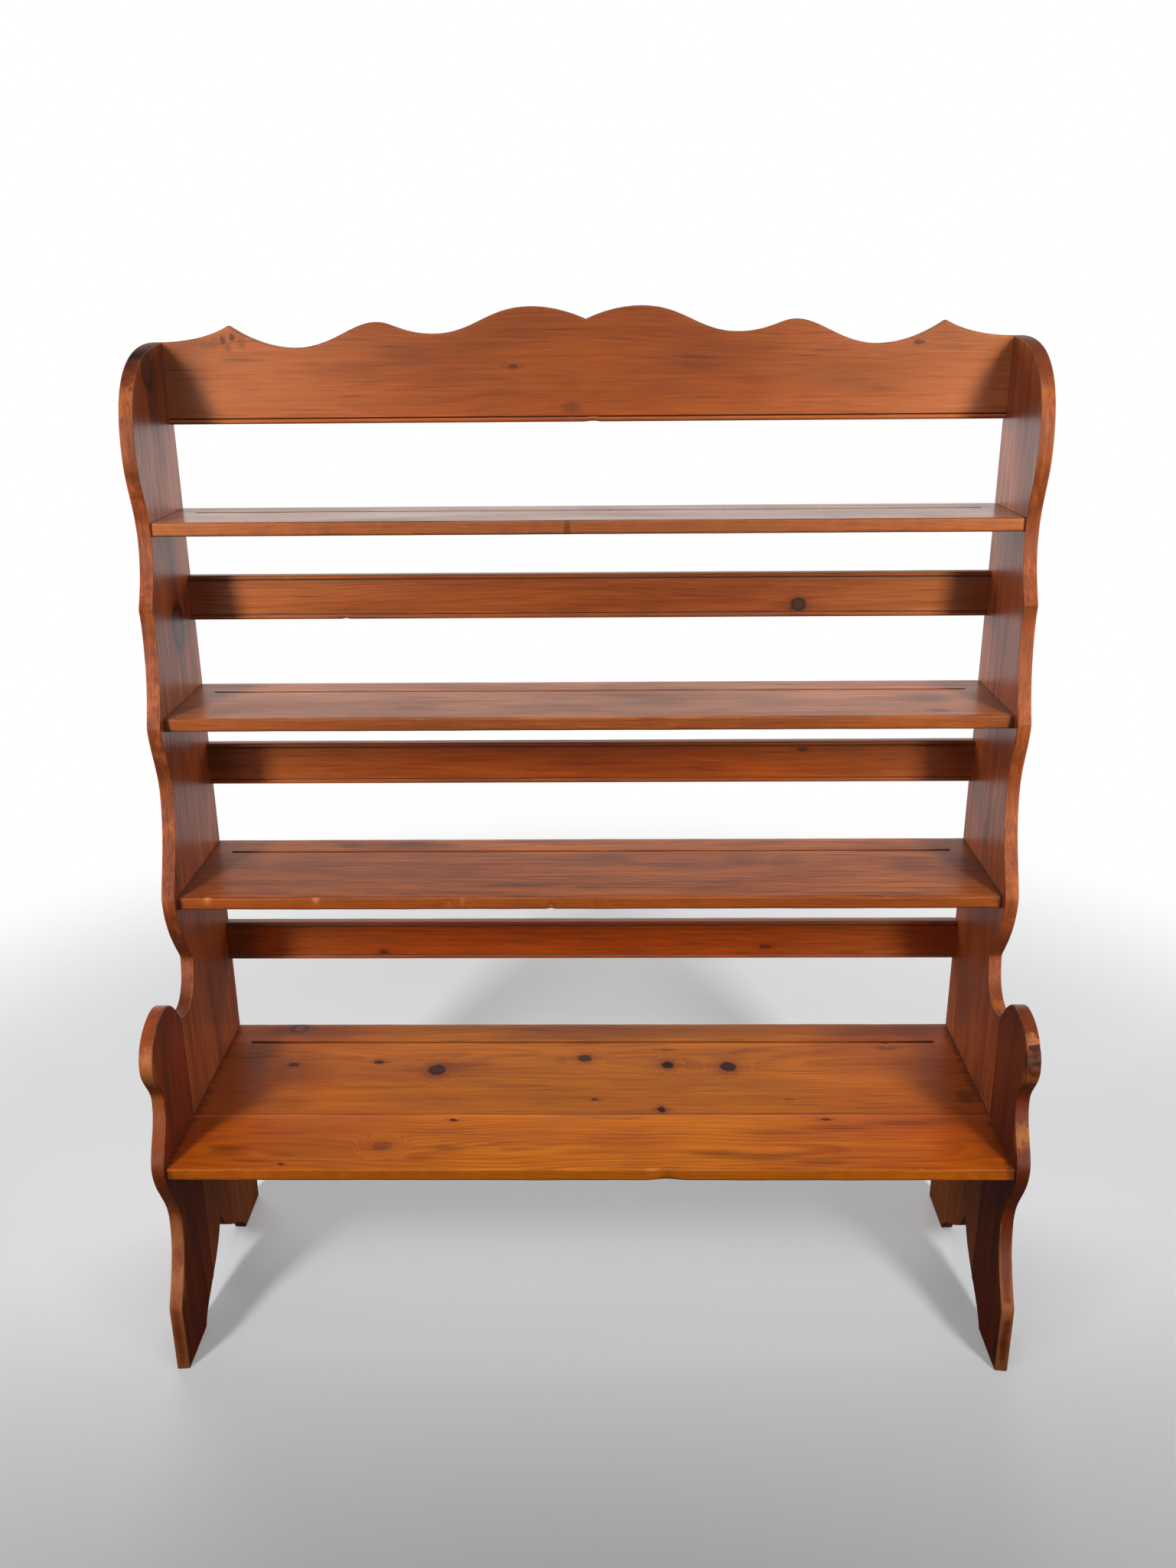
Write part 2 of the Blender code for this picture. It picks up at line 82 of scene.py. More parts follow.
# Outline of a side from the rear top corner down the front: knots as (depth, height), each with the sweep of
# the curve that leads to it (two handles, as shares of the way from the last knot, forwards and up)
SIDE_START = (0.0, 1.4288)
SIDE_KNOTS = (
    ((0.175, 1.290), ((0.686, 0.0), (1.0, 0.32))),
    ((0.1535, 1.180), ((0.0, 0.41), (1.0, 0.59))),
    ((0.183, 1.086), ((0.0, 0.456), (0.627, 0.770))),
    ((0.1802, 1.060), ((0.71, 0.31), (1.0, 0.54))),
    ((0.208, 0.925), ((0.0, 0.63), (1.0, 0.926))),
    ((0.189, 0.830), ((0.0, 0.32), (1.0, 0.66))),
    ((0.235, 0.674), ((0.0, 0.48), (1.0, 0.86))),
    ((0.189, 0.563), ((0.0, 0.53), (1.0, 0.91))),
    ((SIDE_SEAM, 0.508), ((0.10, 1.055), (0.456, 1.255))),
    ((0.32688, 0.554), ((0.254, 0.565), (0.593, 1.0))),
    ((0.396, 0.497), ((0.507, 0.0), (1.0, 0.42))),
    ((0.3685, 0.432), ((0.0, 0.38), (1.0, 0.66))),
    ((0.4026, 0.340), ((0.0, 0.43), (1.0, 0.67))),
    ((0.3633, 0.230), ((0.0, 0.36), (1.0, 0.64))),
    ((0.408, 0.109), ((0.0, 0.456), (0.627, 0.770))),
)
NOTCH_KNOT = 8                 # the knot where the arm board starts
TOE_DEPTH = 0.408
ARCH_FRONT = (0.322, 0.0)
ARCH_TOP = (0.204, 0.116)
ARCH_SWEEP = ((0.153, 0.345), (0.788, 0.474))

# Top edge of the crest from the middle outwards: knots as (X, height), each with the sweep that leads to it
CREST_MIDDLE = (0.0, 1.455)
CREST_KNOTS = (
    ((0.076, 1.472), ((0.30, 0.60), (0.65, 1.0))),
    ((0.21208, 1.4373), ((0.45, 0.0), (0.58, 1.0))),
    ((0.2902, 1.4532), ((0.55, 0.0), (0.75, 1.0))),
    ((0.40486, 1.4202), ((0.30, 0.0), (0.55, 1.0))),
    ((0.496, 1.4498), ((0.45, 0.0), (0.80, 0.60))),
    ((INNER - FIT, 1.4288), ((0.20, 0.50), (0.50, 0.95))),
)


# Shapes
def bend(start, end, sweep, spacing):
    """Cubic from one knot to the next, without its first point: the two knots and two handles weighted by
    the cubic's four terms, at steps of about the spacing."""
    start, end = np.array(start), np.array(end)
    first, second = start + np.array(sweep) * (end - start)
    steps = max(4, round(np.linalg.norm(end - start) / spacing))
    t = np.linspace(0.0, 1.0, steps + 1)[1:, None]
    return (1 - t) ** 3 * start + 3 * t * (1 - t) ** 2 * first + 3 * t * t * (1 - t) * second + t ** 3 * end


def straight(start, end, spacing):
    """Points at even steps from start to end, without the first one."""
    start, end = np.array(start), np.array(end)
    steps = max(1, round(np.linalg.norm(end - start) / spacing))
    return start + np.linspace(0.0, 1.0, steps + 1)[1:, None] * (end - start)


def put(name, data):
    """New object of some data, linked into the scene."""
    item = bpy.data.objects.new(name, data)
    bpy.context.scene.collection.objects.link(item)
    return item


def shell(name, rings, wear):
    """Closed surface through rings of equal count: neighbouring rings joined by quads, both ends closed flat.

    wear is kept at the points: above 0 where handling has worn the finish, below 0 where grime and painted
    shade darken it.
    """
    count, size = rings.shape[:2]
    index = np.arange(count * size).reshape(count, size)
    after = np.roll(index, -1, axis=1)
    quads = np.stack([index[:-1], after[:-1], after[1:], index[1:]], axis=-1).reshape(-1, 4)
    points = rings.reshape(-1, 3)
    a, b, c, d = (points[quads[:, corner]] - points.mean(axis=0) for corner in range(4))
    turned = np.sum(a * np.cross(b, c)) + np.sum(a * np.cross(c, d)) < 0
    faces = quads.tolist() + [index[0, ::-1].tolist(), index[-1].tolist()]
    if turned:
        faces = [face[::-1] for face in faces]
    mesh = bpy.data.meshes.new(name)
    mesh.from_pydata(points.tolist(), [], faces)
    worn = mesh.attributes.new("wear", "FLOAT", "POINT")
    worn.data.foreach_set("value", np.ascontiguousarray(wear, dtype=np.float32).ravel())
    return put(name, mesh)


def wobble(x, seed):
    """Slow hand-worked unevenness between -1 and 1: three sines of unlike wavelengths and phases."""
    return (np.sin(17.3 * x + seed) + np.sin(41.7 * x + 2.3 * seed) + np.sin(88.1 * x + 0.7 * seed)) / 3


def stations(reach, places):
    """Where along X a section is set: every 15 mm, and every millimetre round the named places."""
    rows = [np.linspace(-reach, reach, round(reach / 0.0075) + 1)]
    rows += [place + np.arange(-12, 13) * 0.001 for place in places]
    x = np.unique(np.round(np.concatenate(rows), 4))
    x = x[np.abs(x) < reach - 0.0004]
    return np.concatenate([[-reach], x, [reach]])


def quarter(depth, height, radius, first, wear):
    """Quarter round at every station, from the first angle on: centre plus radius times cosine and sine."""
    angle = np.radians(np.linspace(first, first + 90, 6))
    return depth + radius * np.cos(angle), height + radius * np.sin(angle), 0 * radius + wear + 0 * angle


def level(depths, height):
    """Points at the given depths on one height, the same at every station."""
    depths = np.array(depths)[None, :]
    return depths, 0 * depths + height, 0 * depths


def upright_row(depth, heights, wear=0.0):
    """Points at the given heights on one depth, the same at every station."""
    heights = np.array(heights)[None, :]
    return 0 * heights + depth, heights, 0 * heights + wear


def strike(x, depth, height, wear, marks):
    """Bruises and chips: each mark (X, depth, height, radius, push forwards, push up, wear) moves and wears
    the points round it, fading as a bell curve of the distance over the radius."""
    for place, deep, high, radius, forwards, up, bare in marks:
        near = np.exp(-((x - place) ** 2 + (depth - deep) ** 2 + (height - high) ** 2) / radius ** 2)
        depth, height, wear = depth + forwards * near, height + up * near, wear + bare * near
    return depth, height, wear


def carry(name, x, blocks, marks, drop=None):
    """Carry a closed section along X: the blocks of (depth, height, wear) in turn make the section.

    drop(X, depth) is cut down out of the top face, and then the marks strike.
    """
    spread = [[np.broadcast_to(part, (len(x), part.shape[1])) for part in block] for block in blocks]
    depth, height, wear = (np.concatenate(parts, axis=1) for parts in zip(*spread))
    along = np.broadcast_to(x[:, None], depth.shape)
    if drop is not None:
        cut = drop(along, depth) * (height > height.max() - 0.0002)
        height = height - cut
        # the groove is darkened, a painted shade of its walls, less in its middle than at its ends
        grime_and_shade = np.clip((np.abs(along) - 0.42) / 0.08, 0.75, 1.0)
        wear = wear - np.minimum(cut / SHADED_GROOVE_DEPTH, 1.0) * grime_and_shade
    depth, height, wear = strike(along, depth, height, wear, marks)
    return shell(name, np.stack([along, REAR - depth, height], axis=-1), wear)


def lying_board(node, groove_back, marks, seed, glued_rear=False, glued_front=False):
    """Shelf or bench board: four quarter rounds and the faces between them, with a stopped plate groove.

    The groove is a round bar's underside with ball ends: its drop below the top face is the height of the
    bar's circle, at the distance from the bar's axis, less what stays above the face.
    """
    low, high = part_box(node)
    rear, front, under, top = REAR - high[1], REAR - low[1], low[2], high[2]
    stops = (-GROOVE_REACH, GROOVE_REACH) if groove_back else ()
    x = stations(INNER + SEAT, [*stops, *(mark[0] for mark in marks)])
    soft = EASE * (1.0 + 0.35 * wobble(x, seed))[:, None]
    back = soft * (GLUED if glued_rear else 0.8)
    fore = soft * (GLUED if glued_front else 1.25)
    edge_wear_and_shade = 0.0 if glued_front else 0.6
    # rows of points on the top face, closer together by the front arris and across the groove
    tops = [front - step for step in (0.0045, 0.007, 0.011, 0.018)]
    tops += list(np.linspace(front - 0.030, rear + 0.012, 9))
    if groove_back:
        tops += list(groove_back + np.linspace(-0.0046, 0.0046, 19))
    tops = sorted((t for t in tops if rear + 0.004 < t < front - 0.004), reverse=True)

    def drop(along, depth):
        past = np.maximum(0.0, np.abs(along) - (GROOVE_REACH - GROOVE_RADIUS))
        circle = GROOVE_RADIUS ** 2 - (depth - groove_back) ** 2 - past ** 2
        return np.maximum(0.0, np.sqrt(np.maximum(0.0, circle)) - (GROOVE_RADIUS - GROOVE_DEPTH))

    blocks = [
        quarter(rear + back, under + back, back, 180, 0.2),
        level([rear + 0.004, (rear + front) / 2, front - 0.0045], under),
        # the lower front arris darkened: painted shade; the upper one rubbed paler
        quarter(front - fore, under + fore, fore, 270, -0.6 * edge_wear_and_shade),
        upright_row(front, [under + 0.005, under + 0.0075, top - 0.0075, top - 0.005], 0.15 * edge_wear_and_shade),
        quarter(front - fore, top - fore, fore, 0, edge_wear_and_shade),
        level(tops, top),
        quarter(rear + back, top - back, back, 90, 0.2),
        upright_row(rear, [top - 0.005, under + 0.005]),
    ]
    return carry(f"{node}_pine", x, blocks, marks, drop if groove_back else None)


def bead_blocks(front, edge, up):
    """Bead along a front edge, from the edge inwards: most of a half round, then the quirk's rounded floor.

    up is 1 for a bead along a lower edge and -1 for one along an upper edge.
    """
    radius = BEAD / 2
    angle = np.radians(np.linspace(-90, 62, 13)) * up
    quirk = np.array([[0.0019, -0.0004], [QUIRK_DEPTH, 0.0], [QUIRK_DEPTH, 0.0004], [0.0012, 0.0012],
                      [0.0003, QUIRK - 0.0003], [0.0, QUIRK]])
    # rubbed paler over the bead, darker in the quirk
    wear = np.concatenate([np.linspace(0.35, 0.6, 13), [-1.0, -1.0, -1.0, -0.8, 0.1, 0.0]])
    depth = np.concatenate([front - radius + radius * np.cos(angle), front - quirk[:, 0]])
    height = np.concatenate([edge + up * radius + radius * np.sin(angle), edge + up * (BEAD + quirk[:, 1])])
    block = np.stack([depth, height, wear])[:, None, :]
    return tuple(block if up > 0 else block[:, :, ::-1])


def plate_rail(node, marks, seed):
    """Plate rail: a bead along both front edges, and quarter rounds along the rear ones."""
    low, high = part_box(node)
    front, under, top = REAR - low[1], low[2], high[2]
    x = stations(INNER - FIT, [mark[0] for mark in marks])
    soft = EASE * (1.0 + 0.3 * wobble(x, seed))[:, None]
    inset = BEAD + QUIRK
    blocks = [
        quarter(soft, under + soft, soft, 180, 0.2),
        bead_blocks(front, under, 1),
        upright_row(front, np.linspace(under + inset + 0.002, top - inset - 0.002, 6)),
        bead_blocks(front, top, -1),
        quarter(soft, top - soft, soft, 90, 0.2),
        upright_row(0.0, [top - 0.005, under + 0.005]),
    ]
    return carry(f"{node}_pine", x, blocks, marks)


def crest_board(marks, seed):
    """Crest: the rail's lower bead, and a top that follows the cubic outline, with quarter rounds on both
    sides of it; the front and rear faces are ruled between the two."""
    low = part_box("crest_rail")[0]
    front, under = REAR - low[1], low[2]
    right = [np.array([CREST_MIDDLE])]
    for end, sweep in CREST_KNOTS:
        right.append(bend(right[-1][-1], end, sweep, CREST_STEP))
    right = np.concatenate(right)
    outline = np.concatenate([right[:0:-1] * (-1, 1), right])
    x = np.unique(np.round(np.concatenate([outline[:, 0], stations(INNER - FIT, [m[0] for m in marks])]), 5))
    x = x[np.concatenate([[True], np.diff(x) > 0.0003])]
    top = np.interp(x, outline[:, 0], outline[:, 1])[:, None]
    soft = EASE * (1.0 + 0.3 * wobble(x, seed))[:, None]
    face = under + BEAD + QUIRK + 0.002
    shares = np.array([[0.0, 0.2, 0.4, 0.6, 0.8, 1.0]])
    rows = face + (top - 0.006 - face) * shares
    flat = 0.0 * rows
    blocks = [
        quarter(soft, under + soft, soft, 180, 0.2),
        bead_blocks(front, under, 1),
        (front + flat, rows, flat),
        quarter(front - soft, top - soft, soft, 0, 0.6),
        quarter(soft, top - soft, soft, 90, 0.4),
        (flat[:, ::-1], rows[:, ::-1], flat),
    ]
    return carry("crest_rail_pine", x, blocks, marks)


def side_loops(spacing):
    """Outlines of upright and arm board as closed loops of (depth, height), cut apart along the glue line."""
    runs = [np.array([SIDE_START])]
    for end, sweep in SIDE_KNOTS:
        runs.append(bend(runs[-1][-1], end, sweep, spacing))
    scroll = np.concatenate(runs[:NOTCH_KNOT + 2])
    arm = np.concatenate(runs[NOTCH_KNOT + 2:])
    toe, heel = (TOE_DEPTH, 0.0), (0.0, 0.0)
    sole = np.concatenate([straight(arm[-1], toe, STRAIGHT_STEP), straight(toe, ARCH_FRONT, STRAIGHT_STEP)])
    half = np.concatenate([[ARCH_FRONT], bend(ARCH_FRONT, ARCH_TOP, ARCH_SWEEP, spacing)])
    arch = np.concatenate([half, half[-2::-1] * (-1, 1) + toe])
    cut = int(np.argmax(arch[:, 0] < SIDE_SEAM))
    share = (arch[cut - 1, 0] - SIDE_SEAM) / (arch[cut - 1, 0] - arch[cut, 0])
    foot = arch[cut - 1] + share * (arch[cut] - arch[cut - 1])
    notch = scroll[-1]
    back = np.concatenate([straight(arch[-1], heel, STRAIGHT_STEP),
                           straight(heel, SIDE_START, STRAIGHT_STEP)[:-1]])
    upright = np.concatenate([scroll, straight(notch, foot, SEAM_STEP), arch[cut:], back])
    arm = np.concatenate([[notch], arm, sole, arch[1:cut], [foot], straight(foot, notch, SEAM_STEP)[:-1]])
    for loop, shift in ((upright, -FIT / 2), (arm, FIT / 2)):
        loop[np.abs(loop[:, 0] - SIDE_SEAM) < 1e-6, 0] += shift
    return upright, arm


def side_board(name, loop, sign, marks):
    """Board sawn out along a loop: rings of the loop, moved inwards along the mitre of its two edges by a
    quarter round's inset, carried across the thickness from the inner face to the outer one."""
    ahead = np.roll(loop, -1, axis=0) - loop
    ahead /= np.linalg.norm(ahead, axis=1)[:, None]
    normal = np.stack([ahead[:, 1], -ahead[:, 0]], axis=1)
    mitre = normal + np.roll(normal, 1, axis=0)
    mitre /= np.maximum(np.sum(mitre * normal, axis=1), 0.3)[:, None]
    from_seam = np.abs(loop[:, 0] - SIDE_SEAM)
    share = np.clip(from_seam / 0.006, GLUED, 1.0)
    # half the thickness: a ring on the inner face, the quarter round and two rings on the edge; then mirrored
    angle = np.radians(np.linspace(0, 90, 6))
    inset = np.concatenate([[1.15], 1 - np.sin(angle), [0.0, 0.0]]) * EASE
    across = np.concatenate([[0.0], EASE * (1 - np.cos(angle)), [0.005, BOARD / 2]])
    rounding = np.array([0.0, 0.25, 0.7, 1.0, 1.0, 0.8, 0.5, 0.2, 0.1])
    inset = np.concatenate([inset, inset[-2::-1]])
    across = np.concatenate([across, BOARD - across[-2::-1]])
    rounding = np.concatenate([rounding, rounding[-2::-1]])[:, None]
    flat = loop[None] + mitre[None] * (inset[:, None] * share[None])[:, :, None]
    # hands wear the arrises, most at the front and not along the glue line, and feet wear the toes
    handled = np.clip(loop[:, 0] / 0.1, 0.2, 1.0) * (from_seam >= FIT)
    kicked = np.clip((0.24 - loop[:, 1]) / 0.12, 0.0, 1.0) * (loop[:, 0] > 0.34)
    wear = rounding * handled[None] + 1.3 * np.minimum(rounding, 0.5) ** 0.3 * kicked[None]
    x = np.broadcast_to(sign * (INNER + across)[:, None], flat.shape[:2])
    depth, height, wear = strike(x, flat[:, :, 0], flat[:, :, 1], wear, marks)
    return shell(name, np.stack([x, REAR - depth, height], axis=-1), wear)


def block_rings(low, high):
    """A box as two rings of four corners, for cutting."""
    loop = ((low[1], low[2]), (high[1], low[2]), (high[1], high[2]), (low[1], high[2]))
    return np.array([[(x, y, z) for y, z in loop] for x in (low[0], high[0])])


def cut_out(piece, cutters):
    """Take the cutters' shapes out of a piece for good, and remove the cutters."""
    for cutter in cutters:
        modifier = piece.modifiers.new(cutter.name, "BOOLEAN")
        modifier.operation = "DIFFERENCE"
        modifier.solver = "EXACT"
        modifier.object = cutter
    seen = piece.evaluated_get(bpy.context.evaluated_depsgraph_get())
    mesh = bpy.data.meshes.new_from_object(seen)
    piece.modifiers.clear()
    piece.data = mesh
    for cutter in cutters:
        bpy.data.objects.remove(cutter, do_unlink=True)


def housings_and_holes(sign):
    """Cutters for one side: a housing for each shelf's end and a round sinking over each nail's head."""
    cutters = []
    for fore, back in (("top_shelf", "top_shelf"), ("middle_shelf", "middle_shelf"),
                       ("lower_shelf", "lower_shelf"), ("bench_front_board", "bench_rear_board")):
        low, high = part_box(fore)[0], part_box(back)[1]
        ends = sorted((sign * (INNER - BOARD), sign * (INNER + SEAT + FIT)))
        rings = block_rings((ends[0], low[1] - FIT, low[2] - FIT), (ends[1], REAR + BOARD, high[2] + FIT))
        cutters.append(shell(f"cut_{fore}", rings, np.zeros((2, 4))))
    out, radius = (np.array(column)[:, None] for column in zip(*NAIL_SINKING))
    angle = np.linspace(0, 2 * np.pi, 17)[:-1]
    for name in sorted(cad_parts):
        if "_nail_" not in name or not name.startswith("left" if sign < 0 else "right"):
            continue
        low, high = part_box(name)
        y, z = (low[1] + high[1]) / 2, (low[2] + high[2]) / 2
        x = np.broadcast_to(sign * (WIDTH / 2 + out), (len(out), len(angle)))
        rings = np.stack([x, y + radius * np.cos(angle), z + radius * np.sin(angle)], axis=-1)
        cutters.append(shell(f"cut_{name}", rings, np.zeros(x.shape)))
    return cutters


# Materials
def linear(code):
    """sRGB hex colour as linear red, green, blue and alpha."""
    parts = np.array([int(code[i:i + 2], 16) for i in (1, 3, 5)]) / 255
    parts = np.where(parts <= 0.04045, parts / 12.92, ((parts + 0.055) / 1.055) ** 2.4)
    return (*(float(part) for part in parts), 1.0)


SMOOTH = {"interpolation_type": "SMOOTHSTEP"}
MULTIPLY_ADD = {"operation": "MULTIPLY_ADD"}


def add(tree, kind, inputs, **settings):
    """Add a node with its settings, and return its outputs.

    inputs gives values, or sockets to link, in the order of the node's own or by their names or numbers.
    """
    node = tree.nodes.new(kind)
    for name, value in settings.items():
        setattr(node, name, value)
    pairs = inputs.items() if isinstance(inputs, dict) else enumerate(inputs)
    for key, value in pairs:
        if isinstance(value, bpy.types.NodeSocket):
            tree.links.new(value, node.inputs[key])
        else:
            node.inputs[key].default_value = value
    return node.outputs


def blank(name):
    """A material with an empty node tree, and the tree."""
    material = bpy.data.materials.new(name)
    material.use_nodes = True
    material.node_tree.nodes.clear()
    return material, material.node_tree


# How each way of cutting turns X, Y, Z into along the grain, across the face and through the board
ALONG_SHELF = (0.0, 0.0, 0.0)
ALONG_RAIL = (-math.pi / 2, 0.0, 0.0)
UP_SIDE = (0.0, math.pi / 2, 0.0)


def stretched_noise(tree, board, per_metre, shift, detail, coarse=0.5):
    """Noise drawn out along the grain, with so many waves in a metre along, across and through the board."""
    where = add(tree, "ShaderNodeVectorMath", (board, per_metre, (shift, shift * 1.7, shift * 0.3)),
                **MULTIPLY_ADD)[0]
    return add(tree, "ShaderNodeTexNoise",
               {"Vector": where, "Scale": 1.0, "Detail": detail, "Roughness": coarse})


def ellipse(tree, spot, along, across, half_long, half_wide):
    """Distance from the middle of an ellipse on the face, in units of its half length and half width."""
    shift = (-along / half_long, -across / half_wide, 0.0)
    far = add(tree, "ShaderNodeVectorMath", (spot, (1 / half_long, 1 / half_wide, 0.0), shift),
              **MULTIPLY_ADD)[0]
    return add(tree, "ShaderNodeVectorMath", (far,), operation="LENGTH")["Value"]


def strongest(tree, masks):
    """The largest of some masks at each point."""
    top = masks[0]
    for mask in masks[1:]:
        top = add(tree, "ShaderNodeMath", (top, mask), operation="MAXIMUM")[0]
    return top


RING_WIDTH = 0.0045
STAIN_AND_PAINTED_SHADE = "#34120a"        # where the stain, smoke or grime is deepest, and where shade is painted
KNOT_DARK = "#220a06"
KNOT_HEART = "#7c4026"
DUST = "#8f7a68"


def varnished_pine(name, turn, pith, light, dark, seed, knots=(), smudges_and_shade=(), rubs_and_highlights=(), figure=0.2, grain=1.0,
                   gloss=0.26, ends=None, sawn=None, seam=None, dust=0.0, bare="#b4662e"):
    """Flat-sawn pine, stained amber to red-brown and varnished: the growth rings show as soft darker lines
    that bend round the knots, over fine straight fibres; the stain lies unevenly and has gone smoky where
    hands and dust reached it, the varnish is satin, and it is rubbed paler along the arrises. Some smudges
    are painted shade, beside the sides and in corners, and some rubs painted highlights.

    The rings are circles round the pith, a line along the grain at (across, through), that wander with a
    slow noise. A knot is (along, across, half length, half width, depth of its colour, paleness of its
    heart), and a smudge or a rub (along, across, half length, half width, how far it covers). figure is how
    strongly the rings show, grain the same for fibres and bands, gloss the varnish's roughness, dust how far
    it covers upward faces, and bare the colour of rubbed wood and of the painted highlights. ends is the
    colour towards both ends and how far it takes over, a painted light and sheen where paler, partly a
    painted shade where darker; sawn the same for the sawn edges, partly painted light and shade; and seam
    where across a glue line runs and how dark.
    """
    material, tree = blank(name)
    coords = add(tree, "ShaderNodeTexCoord", {})
    place = coords["Object"]
    board = add(tree, "ShaderNodeMapping", {"Vector": place, "Rotation": turn})["Vector"]
    axes = add(tree, "ShaderNodeSeparateXYZ", (board,))
    shade = linear(STAIN_AND_PAINTED_SHADE)

    # fibres: streaks 5 mm by 140 mm that split into finer ones, drawn coarse enough to show, and fine ones of
    # 1.6 mm by 40 mm; bands of 18 mm by 400 mm; clouds in the stain of 70 mm by 250 mm; dark pores of 4 mm by
    # 90 mm; blotches of 18 mm all ways
    fibre = stretched_noise(tree, board, (7.0, 210.0, 210.0), seed, 4.0, 0.72)[0]
    fine = stretched_noise(tree, board, (24.0, 620.0, 620.0), seed * 1.3, 2.0)[0]
    band = stretched_noise(tree, board, (2.5, 55.0, 55.0), seed * 0.7, 2.0)[0]
    cloud = stretched_noise(tree, board, (4.0, 14.0, 14.0), seed * 2.1, 3.0)[0]
    pores = stretched_noise(tree, board, (11.0, 240.0, 240.0), seed * 1.9, 1.0)[0]
    patch = add(tree, "ShaderNodeTexNoise", {"Vector": place, "Scale": 55.0, "Detail": 4.0})[0]

    # distance from the pith, which wanders about one wave in 600 mm along the grain and in 120 mm across it
    wave = stretched_noise(tree, board, (1.7, 8.0, 8.0), seed, 2.0)["Color"]
    wave = add(tree, "ShaderNodeVectorMath", (wave, (0.0, 0.055, 0.055), (0.0, -0.0275, -0.0275)),
               **MULTIPLY_ADD)[0]
    away = add(tree, "ShaderNodeVectorMath", (board, (0.0, 1.0, 1.0), (0.0, -pith[0], -pith[1])),
               **MULTIPLY_ADD)[0]
    away = add(tree, "ShaderNodeVectorMath", (away, wave))[0]
    radius = add(tree, "ShaderNodeVectorMath", (away,), operation="LENGTH")["Value"]

    # knots: a dark disc with a ragged rim and a paler heart, a halo of darker wood and tails along the grain,
    # and the rings part round them
    ragged = stretched_noise(tree, board, (70.0, 160.0, 30.0), 0.0, 2.0)["Color"]
    ragged = add(tree, "ShaderNodeVectorMath", (ragged, (0.008, 0.005, 0.0), (-0.004, -0.0025, 0.0)),
                 **MULTIPLY_ADD)[0]
    spot = add(tree, "ShaderNodeVectorMath", (board, ragged))[0]
    discs, halos, hearts = [], [], []
    for along, across, half_long, half_wide, depth, heart in knots:
        far = ellipse(tree, spot, along, across, half_long, half_wide)
        push = add(tree, "ShaderNodeMapRange", (far, 0.0, 3.2, 2.2 * half_wide, 0.0),
                   interpolation_type="SMOOTHERSTEP")[0]
        radius = add(tree, "ShaderNodeMath", (radius, push), operation="ADD")[0]
        for masks, whole, none, cover in ((discs, 0.72, 1.15, depth), (hearts, 0.40, 0.80, heart),
                                          (halos, 0.90, 2.30, 0.45 * depth)):
            masks.append(add(tree, "ShaderNodeMapRange", (far, whole, none, cover, 0.0), **SMOOTH)[0])
        tail = ellipse(tree, spot, along, across, 4.0 * half_long, 0.75 * half_wide)
        halos.append(add(tree, "ShaderNodeMapRange", (tail, 0.2, 1.0, 0.6 * depth, 0.0))[0])

    # growth rings: a slow rise to the late wood and a quick end
    phase = add(tree, "ShaderNodeMath", (band, 0.8, seed), **MULTIPLY_ADD)[0]
    phase = add(tree, "ShaderNodeMath", (radius, 1.0 / RING_WIDTH, phase), **MULTIPLY_ADD)[0]
    phase = add(tree, "ShaderNodeMath", (phase,), operation="FRACT")[0]
    rise = add(tree, "ShaderNodeMapRange", (phase, 0.2, 0.85), **SMOOTH)[0]
    end = add(tree, "ShaderNodeMapRange", (phase, 0.88, 1.0, 1.0, 0.0), **SMOOTH)[0]
    late = add(tree, "ShaderNodeMath", (rise, end), operation="MULTIPLY")[0]

    # wood from light to dark: the clouds of the stain, and rings, bands and fibres about their means
    mean = 0.65 * grain
    mix = add(tree, "ShaderNodeMapRange", (cloud, 0.34, 0.70, 0.05 - mean, 0.55 - mean))[0]
    for pattern, amount in ((late, figure), (band, 0.7 * grain), (fibre, 0.6 * grain)):
        mix = add(tree, "ShaderNodeMath", (pattern, amount, mix), **MULTIPLY_ADD)[0]
    if halos:
        mix = add(tree, "ShaderNodeMath", (strongest(tree, halos), mix), operation="ADD")[0]
    colour = add(tree, "ShaderNodeMix", {"Factor": mix, "A": linear(light), "B": linear(dark)},
                 data_type="RGBA", clamp_factor=True)[2]
    # towards both ends: on the crest and rails a paler tone, partly painted light and sheen; on the bench a
    # darker red, partly the painted shade of the arms
    if ends:
        out = add(tree, "ShaderNodeMath", (axes[0],), operation="ABSOLUTE")[0]
        out = add(tree, "ShaderNodeMath", (band, 0.25, out), **MULTIPLY_ADD)[0]
        out = add(tree, "ShaderNodeMapRange", (out, 0.32, 0.70, 0.0, ends[1]), **SMOOTH)[0]
        colour = add(tree, "ShaderNodeMix", {"Factor": out, "A": colour, "B": linear(ends[0])},
                     data_type="RGBA")[2]
    swing = 0.22 * grain
    streak = add(tree, "ShaderNodeMapRange", (fibre, 0.3, 0.7, 1.0 + swing, 1.0 - swing))[0]
    streak = add(tree, "ShaderNodeMath", (fine, 0.5 * grain, streak), **MULTIPLY_ADD)[0]
    streak = add(tree, "ShaderNodeMath", (streak, 0.25 * grain), operation="SUBTRACT")[0]
    colour = add(tree, "ShaderNodeVectorMath", {0: colour, "Scale": streak}, operation="SCALE")[0]

    # what lies over the wood, from the first layer to the last: how far it covers, and its colour
    dark_pores = add(tree, "ShaderNodeMapRange", (pores, 0.60, 0.78, 0.0, 0.45))[0]
    layers = [(dark_pores, shade)]

